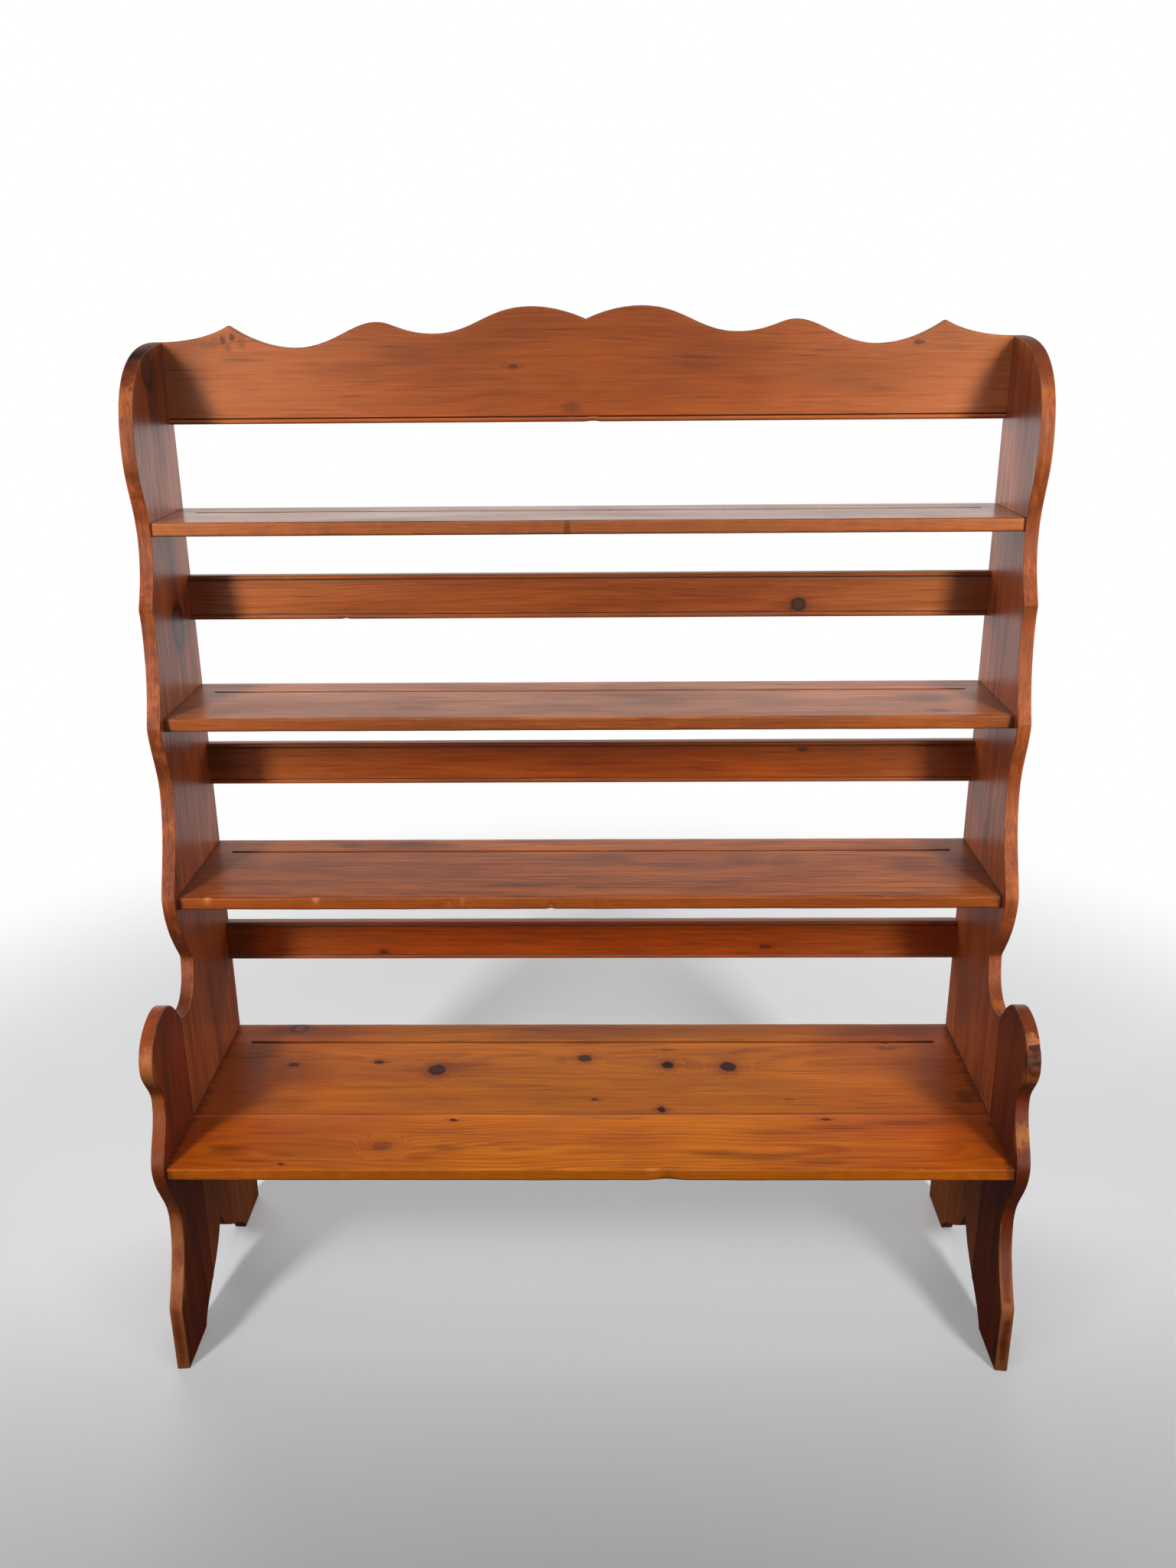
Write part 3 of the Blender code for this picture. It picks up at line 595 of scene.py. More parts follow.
    # edges: the cut ends of the fibres drink more stain, and sawn edges are mottled and less planed
    facing = add(tree, "ShaderNodeMapping", {"Vector": coords["Normal"], "Rotation": turn})["Vector"]
    facing = add(tree, "ShaderNodeVectorMath", (facing,), operation="ABSOLUTE")[0]
    facing = add(tree, "ShaderNodeSeparateXYZ", (facing,))
    thirst = add(tree, "ShaderNodeMapRange", (facing[0], 0.25, 0.95, 0.0, 0.6), **SMOOTH)[0]
    layers.append((thirst, shade))
    edge = add(tree, "ShaderNodeMapRange", (facing[2], 0.2, 0.7, 1.0, 0.0))[0]
    # the edges' tone is partly painted light and shade, setting them apart from the faces as they are lit
    if sawn:
        mottle = add(tree, "ShaderNodeMapRange", (patch, 0.35, 0.65, 1.25 * sawn[1], 0.6 * sawn[1]))[0]
        mottle = add(tree, "ShaderNodeMath", (edge, mottle), operation="MULTIPLY", use_clamp=True)[0]
        layers.append((mottle, linear(sawn[0])))

    # smoky smudges and painted shade, rubbed places and painted highlights, with streaky edges, then the knots
    # and the glue line
    frayed = add(tree, "ShaderNodeMath", (fibre, 2.2, -2.0), **MULTIPLY_ADD)[0]
    frayed = add(tree, "ShaderNodeMath", (band, 1.8, frayed), **MULTIPLY_ADD)[0]
    for table, tone in ((smudges_and_shade, shade), (rubs_and_highlights, linear(bare))):
        masks = []
        for along, across, half_long, half_wide, cover in table:
            far = ellipse(tree, board, along, across, half_long, half_wide)
            far = add(tree, "ShaderNodeMath", (far, frayed), operation="ADD")[0]
            masks.append(add(tree, "ShaderNodeMapRange", (far, 0.2, 1.25, cover, 0.0), **SMOOTH)[0])
        if masks:
            layers.append((strongest(tree, masks), tone))
    if knots:
        layers.append((strongest(tree, discs), linear(KNOT_DARK)))
        layers.append((strongest(tree, hearts), linear(KNOT_HEART)))
    if seam:
        line = add(tree, "ShaderNodeMath", (axes[1], -seam[0]), operation="ADD")[0]
        line = add(tree, "ShaderNodeMath", (line,), operation="ABSOLUTE")[0]
        line = add(tree, "ShaderNodeMapRange", (line, 0.0008, 0.0028, seam[1], 0.0))[0]
        layers.append((line, shade))

    # wear: paler on rubbed arrises, darker in quirks, painted shade in grooves and under front arrises, dust on
    # upper edges
    wear = add(tree, "ShaderNodeAttribute", {}, attribute_name="wear")["Fac"]
    rubbed = add(tree, "ShaderNodeMath", (wear, 0.55, patch), **MULTIPLY_ADD)[0]
    rubbed = add(tree, "ShaderNodeMapRange", (rubbed, 0.86, 1.35, 0.0, 0.6), **SMOOTH)[0]
    grime_and_shade = add(tree, "ShaderNodeMapRange", (wear, -1.0, -0.1, 0.88, 0.0))[0]
    layers += [(rubbed, linear(bare)), (grime_and_shade, shade)]
    if dust:
        upward = add(tree, "ShaderNodeSeparateXYZ", (coords["Normal"],))[2]
        upward = add(tree, "ShaderNodeMapRange", (upward, 0.6, 0.9, 0.0, dust))[0]
        layers.append((upward, linear(DUST)))
    for cover, tone in layers:
        colour = add(tree, "ShaderNodeMix", {"Factor": cover, "A": colour, "B": tone}, data_type="RGBA")[2]

    # gloss: satin varnish, uneven with clouds and fibres, and duller where it is rubbed, darkened or sawn
    rough = gloss - 0.10
    for mask, amount in ((cloud, 0.20), (fibre, 0.12), (rubbed, 0.18), (grime_and_shade, 0.30), (edge, 0.10)):
        rough = add(tree, "ShaderNodeMath", (mask, amount, rough), **MULTIPLY_ADD)[0]

    # relief: late wood and fine fibres under the varnish, and slow ripples of 38 mm from the plane
    relief = add(tree, "ShaderNodeMath", (late, 0.5, fine), **MULTIPLY_ADD)[0]
    ripple = add(tree, "ShaderNodeTexNoise", {"Vector": place, "Scale": 26.0, "Detail": 1.0})[0]
    relief = add(tree, "ShaderNodeMath", (ripple, 1.6, relief), **MULTIPLY_ADD)[0]
    bump = add(tree, "ShaderNodeBump", {"Strength": 0.22, "Distance": 0.0006, "Height": relief})["Normal"]
    skin = add(tree, "ShaderNodeBsdfPrincipled",
               {"Base Color": colour, "Roughness": rough, "IOR": 1.5, "Normal": bump})["BSDF"]
    add(tree, "ShaderNodeOutputMaterial", {"Surface": skin})
    return material


def oxidised_steel():
    """Drawn wire nail, darkened in the wood: dull grey metal with brown rust in soft patches."""
    material, tree = blank("oxidised_nail_steel")
    place = add(tree, "ShaderNodeTexCoord", {})["Object"]
    patch = add(tree, "ShaderNodeTexNoise", {"Vector": place, "Scale": 900.0, "Detail": 3.0})[0]
    rust = add(tree, "ShaderNodeMapRange", (patch, 0.42, 0.62), **SMOOTH)[0]
    colour = add(tree, "ShaderNodeMix", {"Factor": rust, "A": linear("#5a5652"), "B": linear("#3a2116")},
                 data_type="RGBA")[2]
    rough = add(tree, "ShaderNodeMapRange", (rust, 0.0, 1.0, 0.42, 0.8))[0]
    metal = add(tree, "ShaderNodeMapRange", (rust, 0.0, 1.0, 1.0, 0.1))[0]
    skin = add(tree, "ShaderNodeBsdfPrincipled",
               {"Base Color": colour, "Roughness": rough, "Metallic": metal})["BSDF"]
    add(tree, "ShaderNodeOutputMaterial", {"Surface": skin})
    return material


# Pieces
SHARP_ANGLE = math.radians(38)  # faces that meet at more than this keep a crisp edge
SHELF_BARE = "#c47a40"         # rubbed wood of the plate shelves


def dress(piece, node, material):
    """Give a drawn board its finish, and let it stand for its solid."""
    piece.data.materials.append(material)
    piece.data.shade_smooth()
    piece.data.set_sharp_from_angle(angle=SHARP_ANGLE)
    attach(piece, "root")
    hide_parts(node)


def at(depth):
    """Y of a depth."""
    return REAR - depth


def by_depth(*rows):
    """Rows whose second value is a depth, with the Y of that depth in its place."""
    return [(row[0], at(row[1]), *row[2:]) for row in rows]


# Knots: along the grain, across the face, half length, half width, depth of colour, paleness of the heart.
# Smudges: along the grain, across the face, half length, half width, depth of shade; besides smoke and grime,
# those at the ends beside the sides are painted shade. Rubs the same, with how far the bare colour covers;
# some are painted highlights.
BENCH_REAR_KNOTS = by_depth(
    (-0.242, 0.142, 0.015, 0.016, 1.0, 0.15), (-0.009, 0.108, 0.011, 0.011, 0.9, 0.2),
    (0.122, 0.128, 0.01, 0.011, 1.0, 0.0), (0.217, 0.133, 0.014, 0.014, 1.0, 0.1),
    (0.107, 0.252, 0.006, 0.008, 1.0, 0.0), (0.008, 0.225, 0.005, 0.004, 0.8, 0.0),
    (-0.472, 0.126, 0.009, 0.006, 0.8, 0.0), (-0.337, 0.119, 0.008, 0.006, 0.9, 0.0),
    (-0.487, 0.014, 0.015, 0.014, 0.9, 0.75), (0.124, 0.082, 0.014, 0.003, 0.5, 0.0),
    (0.301, 0.225, 0.008, 0.003, 0.4, 0.0),
)
# Bench smudges: those near both ends, beside the sides, are painted shade of the sides and arms, with a thin
# dark joint at ±0.592; (0.568, 0.222) is the painted shadow of the right arm.
BENCH_REAR_SMUDGES_AND_SHADE = by_depth(
    (-0.592, 0.13, 0.016, 0.4, 0.75), (0.592, 0.13, 0.016, 0.4, 0.75), (-0.575, 0.15, 0.09, 0.17, 0.4),
    (0.578, 0.18, 0.07, 0.15, 0.38), (0.568, 0.222, 0.024, 0.034, 0.7), (0.0, 0.015, 0.62, 0.04, 0.5),
    (-0.45, 0.02, 0.15, 0.04, 0.55), (0.45, 0.02, 0.15, 0.04, 0.55), (-0.541, 0.102, 0.05, 0.09, 0.5),
    (-0.457, 0.148, 0.06, 0.05, 0.35), (-0.475, 0.233, 0.05, 0.02, 0.3), (-0.432, 0.006, 0.05, 0.008, 0.4),
    (0.431, 0.012, 0.04, 0.02, 0.5), (0.476, 0.078, 0.025, 0.008, 0.6), (0.545, 0.12, 0.045, 0.05, 0.2),
    (0.26, 0.184, 0.06, 0.015, 0.2), (0.06, 0.175, 0.05, 0.012, 0.2), (-0.208, 0.13, 0.04, 0.01, 0.35),
)
BENCH_FRONT_KNOTS = by_depth(
    (-0.297, 0.344, 0.016, 0.012, 0.35, 0.6), (-0.201, 0.279, 0.007, 0.003, 0.9, 0.0),
    (-0.433, 0.386, 0.005, 0.003, 0.7, 0.0), (0.348, 0.277, 0.009, 0.003, 0.8, 0.0),
)
# Those near both ends and at the right front corner are painted shade of the sides and arms; the thin ones on
# the right are the stain's flame figure.
BENCH_FRONT_SMUDGES_AND_SHADE = by_depth(
    (-0.592, 0.33, 0.016, 0.3, 0.75), (0.592, 0.33, 0.016, 0.3, 0.75), (-0.582, 0.32, 0.085, 0.14, 0.36),
    (0.582, 0.29, 0.08, 0.13, 0.38), (-0.42, 0.33, 0.2, 0.07, 0.22), (0.284, 0.408, 0.06, 0.006, 0.55),
    (0.4, 0.408, 0.09, 0.004, 0.4), (0.27, 0.311, 0.06, 0.008, 0.4), (0.36, 0.299, 0.075, 0.009, 0.42),
    (0.47, 0.286, 0.08, 0.01, 0.45), (0.53, 0.279, 0.06, 0.018, 0.45), (0.19, 0.361, 0.05, 0.008, 0.4),
    (0.25, 0.368, 0.065, 0.01, 0.45), (0.325, 0.381, 0.05, 0.009, 0.4), (0.575, 0.34, 0.04, 0.05, 0.48),
    (-0.521, 0.353, 0.05, 0.018, 0.55), (-0.436, 0.364, 0.025, 0.007, 0.4),
    (-0.557, 0.29, 0.03, 0.045, 0.45), (-0.243, 0.375, 0.03, 0.007, 0.4), (-0.203, 0.346, 0.03, 0.009, 0.4),
)
# Shelf smudges: the wide ones at both ends, beside the sides, are painted shade of the sides, with a thin dark
# joint at ±0.592.
LOWER_SHELF_SMUDGES_AND_SHADE = by_depth(
    (-0.592, 0.11, 0.014, 0.3, 0.7), (0.592, 0.11, 0.014, 0.3, 0.7), (-0.58, 0.12, 0.065, 0.12, 0.5),
    (0.58, 0.12, 0.06, 0.12, 0.5), (-0.4, 0.12, 0.22, 0.12, 0.3), (-0.375, 0.024, 0.03, 0.014, 0.6),
    (-0.279, 0.019, 0.055, 0.016, 0.7), (-0.234, 0.023, 0.03, 0.012, 0.5),
    (-0.525, 0.097, 0.05, 0.06, 0.45), (-0.426, 0.121, 0.07, 0.035, 0.35), (0.134, 0.106, 0.05, 0.03, 0.25),
    (0.237, 0.084, 0.05, 0.03, 0.35), (0.298, 0.095, 0.04, 0.03, 0.4), (0.024, 0.082, 0.05, 0.03, 0.3),
    (0.484, 0.108, 0.04, 0.03, 0.4), (0.56, 0.12, 0.025, 0.08, 0.35), (0.42, 0.224, 0.24, 0.006, 0.3),
)
# The wide ones at both ends are painted shade of the sides, as on the lower shelf.
MIDDLE_SHELF_SMUDGES_AND_SHADE = by_depth(
    (-0.592, 0.11, 0.014, 0.3, 0.65), (0.592, 0.11, 0.014, 0.3, 0.65), (-0.58, 0.11, 0.055, 0.1, 0.4),
    (0.58, 0.11, 0.05, 0.1, 0.42), (-0.4, 0.1, 0.2, 0.11, 0.25), (-0.249, 0.137, 0.035, 0.016, 0.5),
    (-0.38, 0.158, 0.03, 0.01, 0.4), (-0.516, 0.156, 0.03, 0.024, 0.5), (-0.044, 0.116, 0.05, 0.03, 0.25),
    (0.492, 0.101, 0.045, 0.026, 0.6), (0.492, 0.163, 0.02, 0.01, 0.7), (0.089, 0.102, 0.06, 0.04, 0.25),
    (0.253, 0.105, 0.05, 0.04, 0.25), (-0.54, 0.06, 0.04, 0.06, 0.4),
)
TOP_SHELF_KNOTS = by_depth((-0.025, 0.152, 0.006, 0.006, 0.5, 0.2), (0.335, 0.124, 0.01, 0.012, 0.7, 0.3))
TOP_SHELF_SMUDGES = by_depth((0.345, 0.12, 0.025, 0.014, 0.4), (-0.47, 0.04, 0.06, 0.03, 0.3))
UPPER_RAIL_KNOTS = ((0.311, 1.055, 0.0125, 0.0105, 1.0, 0.25),)
MIDDLE_RAIL_KNOTS = ((0.327, 0.83, 0.008, 0.004, 0.6, 0.0),)
LOWER_RAIL_KNOTS = ((-0.337, 0.485, 0.009, 0.004, 0.7, 0.0), (0.283, 0.493, 0.01, 0.004, 0.6, 0.0))
CREST_KNOT_MARKS = (
    (-0.504, 1.431, 0.004, 0.006, 0.7, 0.0), (-0.49, 1.435, 0.0035, 0.005, 0.7, 0.0),
    (-0.102, 1.393, 0.007, 0.003, 0.6, 0.4), (0.461, 1.421, 0.008, 0.003, 0.6, 0.0),
)
# Crest smudges: the last, at the left end, is the painted shadow of the left side.
CREST_SMUDGES_AND_SHADE = (
    (-0.517, 1.428, 0.006, 0.009, 0.35), (-0.478, 1.428, 0.005, 0.008, 0.35),
    (-0.498, 1.42, 0.004, 0.006, 0.35), (-0.249, 1.414, 0.05, 0.02, 0.22),
    (-0.333, 1.39, 0.05, 0.012, 0.18), (-0.53, 1.425, 0.012, 0.006, 0.4), (0.171, 1.393, 0.05, 0.012, 0.18),
    (0.357, 1.374, 0.06, 0.015, 0.18), (-0.02, 1.338, 0.014, 0.012, 0.4), (-0.575, 1.37, 0.05, 0.15, 0.42),
)
LEFT_UPRIGHT_KNOTS = by_depth((1.041, 0.083, 0.038, 0.028, 1.0, 0.7), (1.394, 0.091, 0.028, 0.024, 1.0, 0.4))
# Smudges on the sides' inner faces: (0.47, 0.11) darkens the lower part, a painted shade; on the left (0.6,
# 0.03) is the painted shade beside the lower rail; (1.13, 0.08) darkens the face just under the top shelf.
LEFT_UPRIGHT_SMUDGES_AND_SHADE = by_depth(
    (1.13, 0.08, 0.05, 0.04, 0.35), (1.34, 0.092, 0.04, 0.01, 0.45), (0.47, 0.11, 0.13, 0.09, 0.22),
    (0.6, 0.03, 0.06, 0.045, 0.4),
)
RIGHT_UPRIGHT_KNOTS = by_depth((0.73, 0.11, 0.02, 0.01, 0.5, 0.4))
# (0.47, 0.11) darkens the lower part, a painted shade.
RIGHT_UPRIGHT_SMUDGES_AND_SHADE = by_depth(
    (1.13, 0.08, 0.05, 0.05, 0.3), (0.56, 0.08, 0.06, 0.03, 0.35), (0.47, 0.11, 0.13, 0.09, 0.2),
)

# On the left arm board, (0.2, 0.325) is the painted shade of the bench on the leg's inner face; on the right,
# (0.509, 0.398) is the dark broken wood under the crack.
ARM_SMUDGES_AND_SHADE = {
    "left": by_depth(
        (0.448, 0.352, 0.05, 0.01, 0.6), (0.3, 0.3, 0.12, 0.03, 0.25),
        (0.2, 0.325, 0.11, 0.022, 0.4), (0.345, 0.404, 0.05, 0.016, 0.3),
    ),
    "right": by_depth(
        (0.509, 0.398, 0.02, 0.022, 0.88), (0.4, 0.33, 0.1, 0.04, 0.3),
        (0.345, 0.404, 0.05, 0.016, 0.3),
    ),
}
# Left and right boards take different tones of the same wood: painted light and shade, as the two sides are lit
# unequally.
ARM_TONES = {"left": ("#923a10", "#5e1e08"), "right": ("#7a2e0a", "#4c1504")}
SAWN_ARM = {"left": "#96481e", "right": "#7a3614"}
SAWN_UPRIGHT = {"left": "#4a200e", "right": "#74391a"}
# Rubs: pale places on the front edges, partly worn and partly painted highlights where the bulges face the
# light.
UPRIGHT_RUBS_AND_HIGHLIGHTS = {
    "left": by_depth((1.36, 0.158, 0.055, 0.013, 0.6), (1.285, 0.164, 0.014, 0.008, 0.7)),
    "right": by_depth((1.31, 0.16, 0.08, 0.012, 0.35), (0.51, 0.232, 0.05, 0.018, 0.5)),
}
ARM_RUBS_AND_HIGHLIGHTS = {
    "left": by_depth(
        (0.49, 0.398, 0.042, 0.015, 0.66), (0.435, 0.372, 0.012, 0.008, 0.35),
        (0.215, 0.366, 0.04, 0.014, 0.7), (0.15, 0.39, 0.04, 0.016, 0.7),
    ),
    "right": by_depth(
        (0.55, 0.384, 0.024, 0.016, 0.75), (0.482, 0.394, 0.01, 0.012, 0.5),
        (0.388, 0.386, 0.022, 0.012, 0.7),
    ),
}

# Bruises and chips: X, depth, height, radius, push forwards, push up, bareness
LOWER_SHELF_MARKS = (
    (-0.392, 0.223, 0.674, 0.005, -0.0022, -0.0016, 1.6), (-0.201, 0.223, 0.668, 0.004, -0.0016, 0.0, 1.5),
    (-0.181, 0.223, 0.671, 0.004, -0.0016, -0.0006, 1.5),
    (-0.054, 0.223, 0.66, 0.005, -0.0018, 0.0012, 1.6), (-0.549, 0.223, 0.675, 0.006, -0.002, -0.002, 1.4),
)
BENCH_FRONT_MARKS = (
    (-0.276, 0.404, 0.34, 0.0035, -0.0016, -0.0016, -1.8),
    (-0.273, 0.405, 0.336, 0.003, -0.0012, 0.0, -1.4), (-0.28, 0.404, 0.336, 0.003, -0.0004, 0.0, 2.0),
    (0.09, 0.398, 0.341, 0.012, -0.0012, -0.0012, 0.8), (0.107, 0.402, 0.324, 0.018, -0.0014, 0.0017, -0.6),
)
BENCH_REAR_MARKS = ((0.478, 0.063, 0.342, 0.004, 0.0, -0.0012, -0.8),)
UPPER_RAIL_MARKS = (
    (-0.445, 0.014, 1.101, 0.005, -0.0012, -0.0012, 1.6), (-0.361, 0.014, 1.037, 0.004, -0.001, 0.001, 1.3),
)
CREST_MARKS = (
    (0.009, 0.017, 1.319, 0.007, -0.0015, 0.0015, 1.2), (-0.022, 0.018, 1.326, 0.004, -0.0008, 0.0, 0.8),
)
LEFT_ARM_MARKS = ((-0.592, 0.406, 0.002, 0.01, -0.001, 0.001, 1.8),)
RIGHT_ARM_MARKS = (
    (0.592, 0.388, 0.5275, 0.0034, -0.0034, 0.0, -1.8), (0.5955, 0.388, 0.528, 0.0036, -0.0048, 0.0, -2.2),
    (0.6, 0.388, 0.527, 0.0036, -0.0055, 0.0, -2.4), (0.6045, 0.388, 0.527, 0.004, -0.006, 0.0, -2.6),
    (0.608, 0.387, 0.5275, 0.004, -0.0055, 0.0, -2.6), (0.5955, 0.387, 0.533, 0.003, 0.0, 0.0, 1.6),
    (0.6, 0.387, 0.534, 0.003, 0.0, 0.0, 1.6), (0.6045, 0.387, 0.5345, 0.003, 0.0, 0.0, 1.6),
    (0.599, 0.391, 0.519, 0.005, -0.0014, 0.0, -0.3), (0.6045, 0.396, 0.504, 0.006, -0.0016, 0.0, -0.3),
    (0.592, 0.406, 0.002, 0.01, -0.001, 0.001, 1.8), (0.6, 0.407, 0.113, 0.007, 0.0, 0.0, 1.2),
)
ARM_MARKS = {"left": LEFT_ARM_MARKS, "right": RIGHT_ARM_MARKS}

# Each shelf's front edge takes its own tone (sawn), set apart from the top as the two are lit: painted light
# and shade.
dress(lying_board("top_shelf", SHELF_GROOVE, (), 1.3), "top_shelf",
      varnished_pine("varnished_pine_top_shelf", ALONG_SHELF, (at(0.07), 1.12), "#915426", "#603217", 3.1,
                     TOP_SHELF_KNOTS, TOP_SHELF_SMUDGES, grain=1.7, gloss=0.20, sawn=("#a65a2e", 0.8),
                     bare=SHELF_BARE))
dress(lying_board("middle_shelf", SHELF_GROOVE, (), 2.9), "middle_shelf",
      varnished_pine("varnished_pine_middle_shelf", ALONG_SHELF, (at(0.02), 0.86), "#a05826", "#683416", 7.7,
                     (), MIDDLE_SHELF_SMUDGES_AND_SHADE, grain=1.7, sawn=("#8c4216", 0.5), bare=SHELF_BARE))
dress(lying_board("lower_shelf", SHELF_GROOVE, LOWER_SHELF_MARKS, 4.2),
      "lower_shelf",
      varnished_pine("varnished_pine_lower_shelf", ALONG_SHELF, (at(0.20), 0.60), "#9c5018", "#642c10", 12.4,
                     (), LOWER_SHELF_SMUDGES_AND_SHADE, grain=1.8, sawn=("#aa521c", 0.6), bare=SHELF_BARE))
# Both bench boards turn darker and redder towards the ends, partly the painted shade of the arms; the front
# board's pale rubbed front arris is partly a painted highlight.
dress(lying_board("bench_rear_board", BENCH_GROOVE, BENCH_REAR_MARKS, 5.6, glued_front=True),
      "bench_rear_board",
      varnished_pine("varnished_pine_bench_rear", ALONG_SHELF, (at(0.10), 0.28), "#bb6810", "#823b08", 21.9,
                     BENCH_REAR_KNOTS, BENCH_REAR_SMUDGES_AND_SHADE, figure=0.3, grain=0.75, ends=("#963408", 0.5),
                     seam=(at(BENCH_SEAM), 0.3)))
dress(lying_board("bench_front_board", None, BENCH_FRONT_MARKS, 6.1, glued_rear=True),
      "bench_front_board",
      varnished_pine("varnished_pine_bench_front", ALONG_SHELF, (at(0.36), 0.25), "#d2740e", "#9c4508", 28.3,
                     BENCH_FRONT_KNOTS, BENCH_FRONT_SMUDGES_AND_SHADE, figure=0.42, grain=0.7, ends=("#a83a06", 0.5),
                     sawn=("#dc7412", 0.6), seam=(at(BENCH_SEAM), 0.3), bare="#e29a44"))
for rail, marks, knots, pith, light, dark, seed, end_shadow in (
        ("upper_plate_rail", UPPER_RAIL_MARKS, UPPER_RAIL_KNOTS, (1.04, -0.13), "#a04f1e", "#702d0e", 33.6,
         0.30),
        ("middle_plate_rail", (), MIDDLE_RAIL_KNOTS, (0.84, -0.11), "#bc591b", "#80310e", 38.8, 0.72),
        ("lower_plate_rail", (), LOWER_RAIL_KNOTS, (0.49, -0.14), "#c75b1b", "#87320d", 44.1, 0.74)):
    # both ends darkened where the sides cast their shadows, deepest on the left: painted shadow; the paler ends
    # are partly painted light and sheen
    smudges_and_shade = ((-0.575, pith[0], 0.055, 0.120, end_shadow), (0.580, pith[0], 0.045, 0.120, 0.5 * end_shadow))
    dress(plate_rail(rail, marks, seed), rail,
          varnished_pine(f"varnished_pine_{rail}", ALONG_RAIL, pith, light, dark, seed, knots, smudges_and_shade,
                         figure=0.12, ends=("#bc7236", 0.35), dust=0.7))
# paler towards the ends: partly painted light and sheen
dress(crest_board(CREST_MARKS, 8.8), "crest_rail",
      varnished_pine("varnished_pine_crest", ALONG_RAIL, (1.36, -0.10), "#b65c24", "#803713", 51.5,
                     CREST_KNOT_MARKS, CREST_SMUDGES_AND_SHADE, figure=0.12, grain=0.65, ends=("#bc7440", 0.4)))

upright_loop = side_loops(UPRIGHT_STEP)[0]
arm_loop = side_loops(ARM_STEP)[1]
for side, sign, knots, smudges_and_shade in (("left", -1, LEFT_UPRIGHT_KNOTS, LEFT_UPRIGHT_SMUDGES_AND_SHADE),
                                   ("right", 1, RIGHT_UPRIGHT_KNOTS, RIGHT_UPRIGHT_SMUDGES_AND_SHADE)):
    glue_line = (at(SIDE_SEAM), 0.85)
    upright = side_board(f"{side}_upright_pine", upright_loop, sign, ())
    arm_board = side_board(f"{side}_arm_board_pine", arm_loop, sign, ARM_MARKS[side])
    cut_out(upright, housings_and_holes(sign))
    cut_out(arm_board, housings_and_holes(sign))
    dress(upright, f"{side}_upright",
          varnished_pine(f"varnished_pine_{side}_upright", UP_SIDE, (at(0.13), -sign * 0.72), "#b05b2c",
                         "#733215", 60.0 + 7 * sign, knots, smudges_and_shade, UPRIGHT_RUBS_AND_HIGHLIGHTS[side], grain=1.8,
                         sawn=(SAWN_UPRIGHT[side], 0.6), seam=glue_line))
    dress(arm_board, f"{side}_arm_board",
          varnished_pine(f"varnished_pine_{side}_arm_board", UP_SIDE, (at(0.33), -sign * 0.70),
                         *ARM_TONES[side], 80.0 + 5 * sign, (), ARM_SMUDGES_AND_SHADE[side], ARM_RUBS_AND_HIGHLIGHTS[side], grain=2.0,
                         sawn=(SAWN_ARM[side], 0.6), seam=glue_line, bare="#bc7442"))

steel = oxidised_steel()
for name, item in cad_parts.items():
    if "_nail_" in name:
        item.material_slots[0].material = steel

# Floor, light and camera
FLOOR_REACH = 6.0
FLOOR_FADE = (0.8, 2.2)        # metres from the middle over which the floor fades into the white


def make_floor():
    """Plain pale floor that fades into the white round it, and throws back as little light as a carpet."""
    mesh = bpy.data.meshes.new("floor")
    corners = FLOOR_REACH * np.array([(-1, -1, 0), (1, -1, 0), (1, 1, 0), (-1, 1, 0)])
    mesh.from_pydata(corners.tolist(), [], [(0, 1, 2, 3)])
    floor = put("floor", mesh)
    material, tree = blank("pale_matt_floor")
    place = add(tree, "ShaderNodeTexCoord", {})["Object"]
    far = add(tree, "ShaderNodeVectorMath", (place,), operation="LENGTH")["Value"]
    fade = add(tree, "ShaderNodeMapRange", (far, FLOOR_FADE[0], FLOOR_FADE[1]), **SMOOTH)[0]
    path = add(tree, "ShaderNodeLightPath", {})
    seen = add(tree, "ShaderNodeMath", (path["Is Camera Ray"], path["Is Transmission Ray"]),
               operation="ADD")[0]
    tone = add(tree, "ShaderNodeMix", {"Factor": seen, "A": linear("#4c4a48"), "B": linear("#d6d8da")},
               data_type="RGBA", clamp_factor=True)[2]
    matt = add(tree, "ShaderNodeBsdfDiffuse", {"Color": tone})[0]
    glow = add(tree, "ShaderNodeMath", (seen, 0.12), operation="MULTIPLY", use_clamp=True)[0]
    glow = add(tree, "ShaderNodeEmission", {"Strength": glow})[0]
    matt = add(tree, "ShaderNodeAddShader", (matt, glow))[0]
    clear = add(tree, "ShaderNodeBsdfTransparent", {})[0]
    skin = add(tree, "ShaderNodeMixShader", (fade, matt, clear))[0]
    add(tree, "ShaderNodeOutputMaterial", {"Surface": skin})
    mesh.materials.append(material)


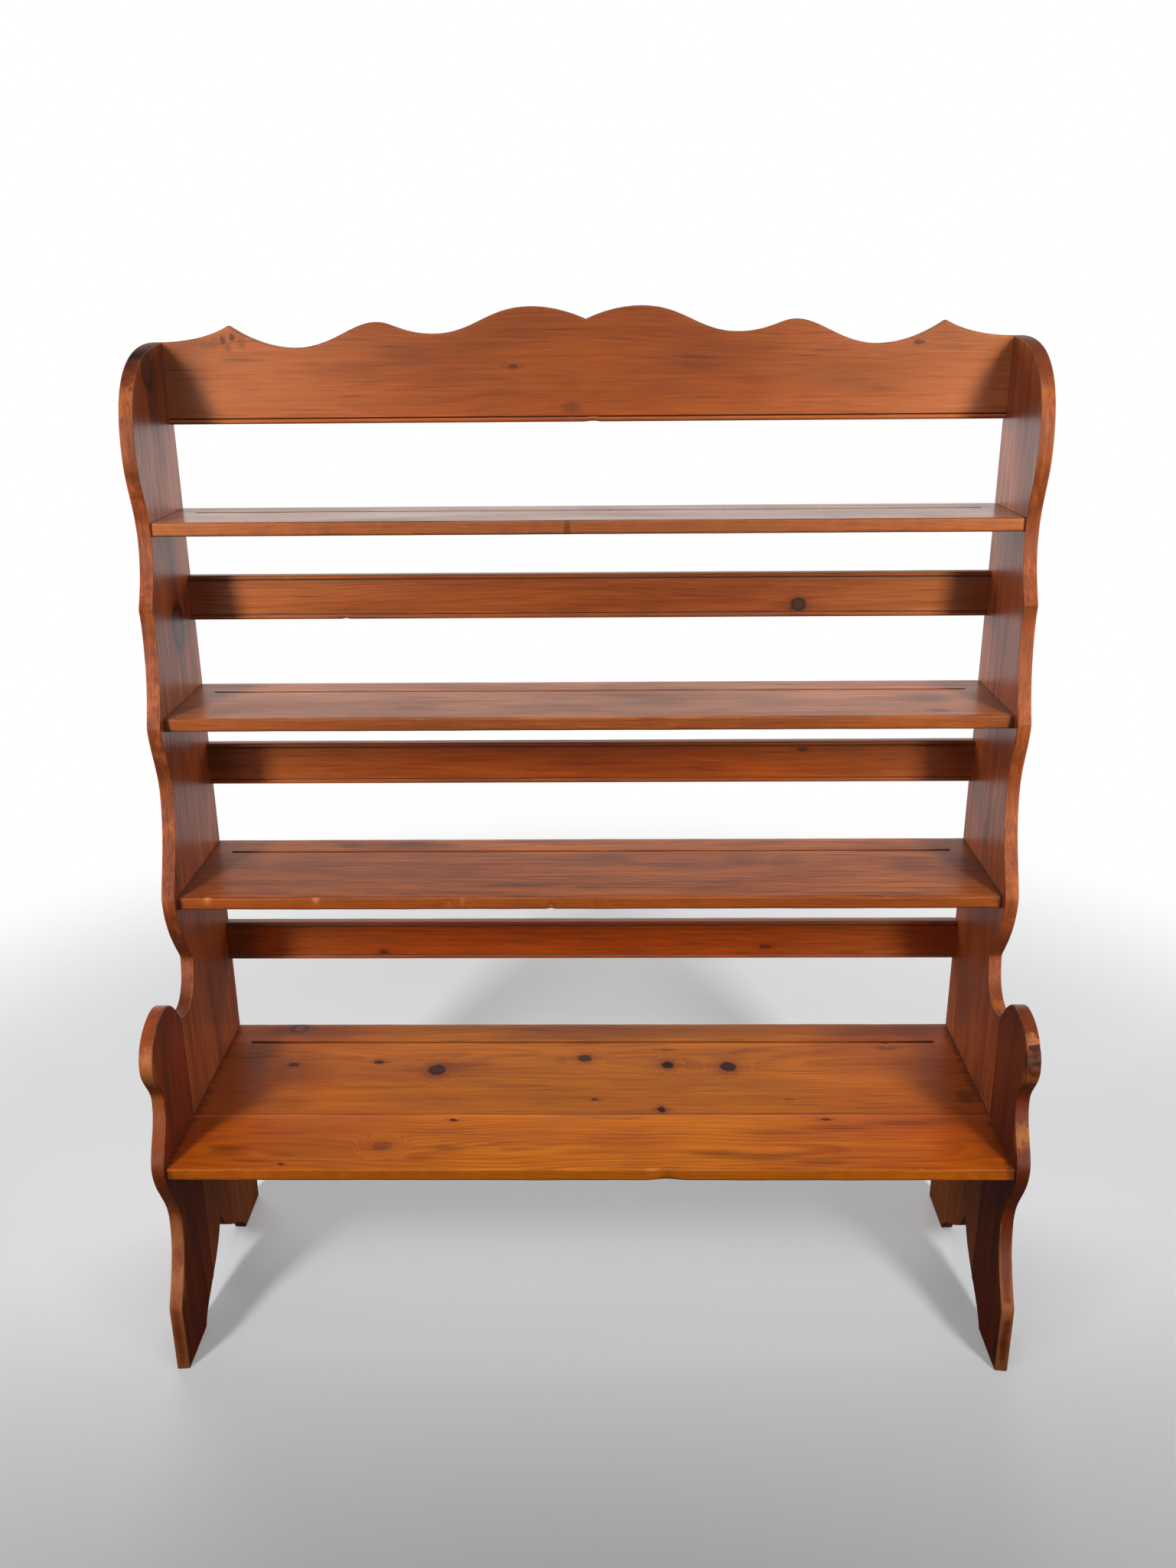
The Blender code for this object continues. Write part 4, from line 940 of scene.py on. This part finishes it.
def make_world():
    """White to the camera; to the object a bright wall behind it and a dim room in front, where the varnish
    alone mirrors a pale window on either side. Heights and sides are parts of the ray's unit direction."""
    world = bpy.data.worlds.new("studio")
    world.use_nodes = True
    tree = world.node_tree
    tree.nodes.clear()
    way = add(tree, "ShaderNodeTexCoord", {})["Generated"]
    axes = add(tree, "ShaderNodeSeparateXYZ", (way,))
    path = add(tree, "ShaderNodeLightPath", {})

    # wall: nearly dark at the floor, brightest just above eye level, and dim towards the ceiling
    rise = add(tree, "ShaderNodeMapRange", (axes[2], -0.36, 0.10, 0.48, 1.3))[0]
    low_wall = add(tree, "ShaderNodeMapRange", (axes[2], -0.50, -0.34, 0.05, rise), **SMOOTH)[0]
    wall = add(tree, "ShaderNodeMapRange", (axes[2], 0.14, 0.44, low_wall, 0.12))[0]

    # windows: out to both sides, between a soft sill and head
    aside = add(tree, "ShaderNodeMath", (axes[0],), operation="ABSOLUTE")[0]
    window = add(tree, "ShaderNodeMapRange", (aside, 0.08, 0.18, 0.0, 2.6), **SMOOTH)[0]
    sill = add(tree, "ShaderNodeMapRange", (axes[2], -0.26, 0.04, 0.08, window))[0]
    head = add(tree, "ShaderNodeMapRange", (axes[2], 0.22, 0.42, sill, 0.0))[0]
    room = add(tree, "ShaderNodeMath", (head, path["Is Glossy Ray"], 0.05), **MULTIPLY_ADD)[0]

    around = add(tree, "ShaderNodeMapRange", (axes[1], 0.0, 0.35, room, wall), **SMOOTH)[0]
    seen = add(tree, "ShaderNodeMath", (path["Is Camera Ray"], path["Is Transmission Ray"]),
               operation="ADD")[0]
    strength = add(tree, "ShaderNodeMix", {0: seen, 2: around, 3: 1.0}, data_type="FLOAT")[0]
    light = add(tree, "ShaderNodeBackground", {"Color": (1.0, 1.0, 1.0, 1.0), "Strength": strength})[0]
    add(tree, "ShaderNodeOutputWorld", {"Surface": light})
    bpy.context.scene.world = world


def stand(name, data, place, right, up, back):
    """New object of some data at a place, with its own X, Y and Z along right, up and back."""
    item = put(name, data)
    turn = Matrix((right, up, back)).transposed().to_4x4()
    turn.translation = place
    item.matrix_world = turn
    return item


def make_lamp(name, place, aim, width, height, power, spread, glossy=True):
    """Soft box at a place, turned to its aim; the varnish mirrors it only where it is glossy."""
    lamp = bpy.data.lights.new(name, "AREA")
    lamp.shape = "RECTANGLE"
    lamp.size, lamp.size_y, lamp.energy = width, height, power
    lamp.spread = math.radians(spread)
    back = np.array(place) - np.array(aim)
    back = back / np.linalg.norm(back)
    right = np.cross((0.0, 0.0, 1.0), back)
    right = right / np.linalg.norm(right)
    item = stand(name, lamp, place, right, np.cross(back, right), back)
    item.visible_camera = False
    item.visible_glossy = glossy


CAMERA_PLACE = (0.0263, -1.7306, 1.4564)
CAMERA_YAW, CAMERA_PITCH, CAMERA_ROLL = (math.radians(angle) for angle in (-0.85, 19.57, 0.49))
CAMERA_LENS = 30.114           # with the default 36 mm along the picture's longer side


def make_camera():
    """Camera at the photograph's place: looks along yaw and pitch, turned about its axis by the roll."""
    ahead = np.array([math.sin(CAMERA_YAW) * math.cos(CAMERA_PITCH),
                      math.cos(CAMERA_YAW) * math.cos(CAMERA_PITCH), -math.sin(CAMERA_PITCH)])
    right = np.array([math.cos(CAMERA_YAW), -math.sin(CAMERA_YAW), 0.0])
    down = np.cross(ahead, right)
    c, s = math.cos(CAMERA_ROLL), math.sin(CAMERA_ROLL)
    right, down = c * right + s * down, c * down - s * right
    data = bpy.data.cameras.new("camera")
    data.lens = CAMERA_LENS
    bpy.context.scene.camera = stand("camera", data, CAMERA_PLACE, right, -down, -ahead)


make_floor()
make_world()
make_lamp("left_soft_box", (-1.24, -1.25, 1.70), (-0.72, 0.10, 0.85), 0.22, 0.70, 7.0, 72, glossy=False)
make_lamp("right_soft_box", (1.18, -1.25, 1.70), (0.72, 0.10, 0.85), 0.26, 0.90, 7.0, 72, glossy=False)
make_lamp("top_soft_box", (0.0, -0.9, 2.7), (0.0, -0.1, 0.6), 1.6, 1.0, 6.0, 120)
make_lamp("wall_glow", (-0.2, 1.10, 1.60), (0.0, 0.10, 1.25), 2.6, 1.0, 21.0, 180, glossy=False)
make_camera()
bpy.context.scene.view_settings.view_transform = "Standard"
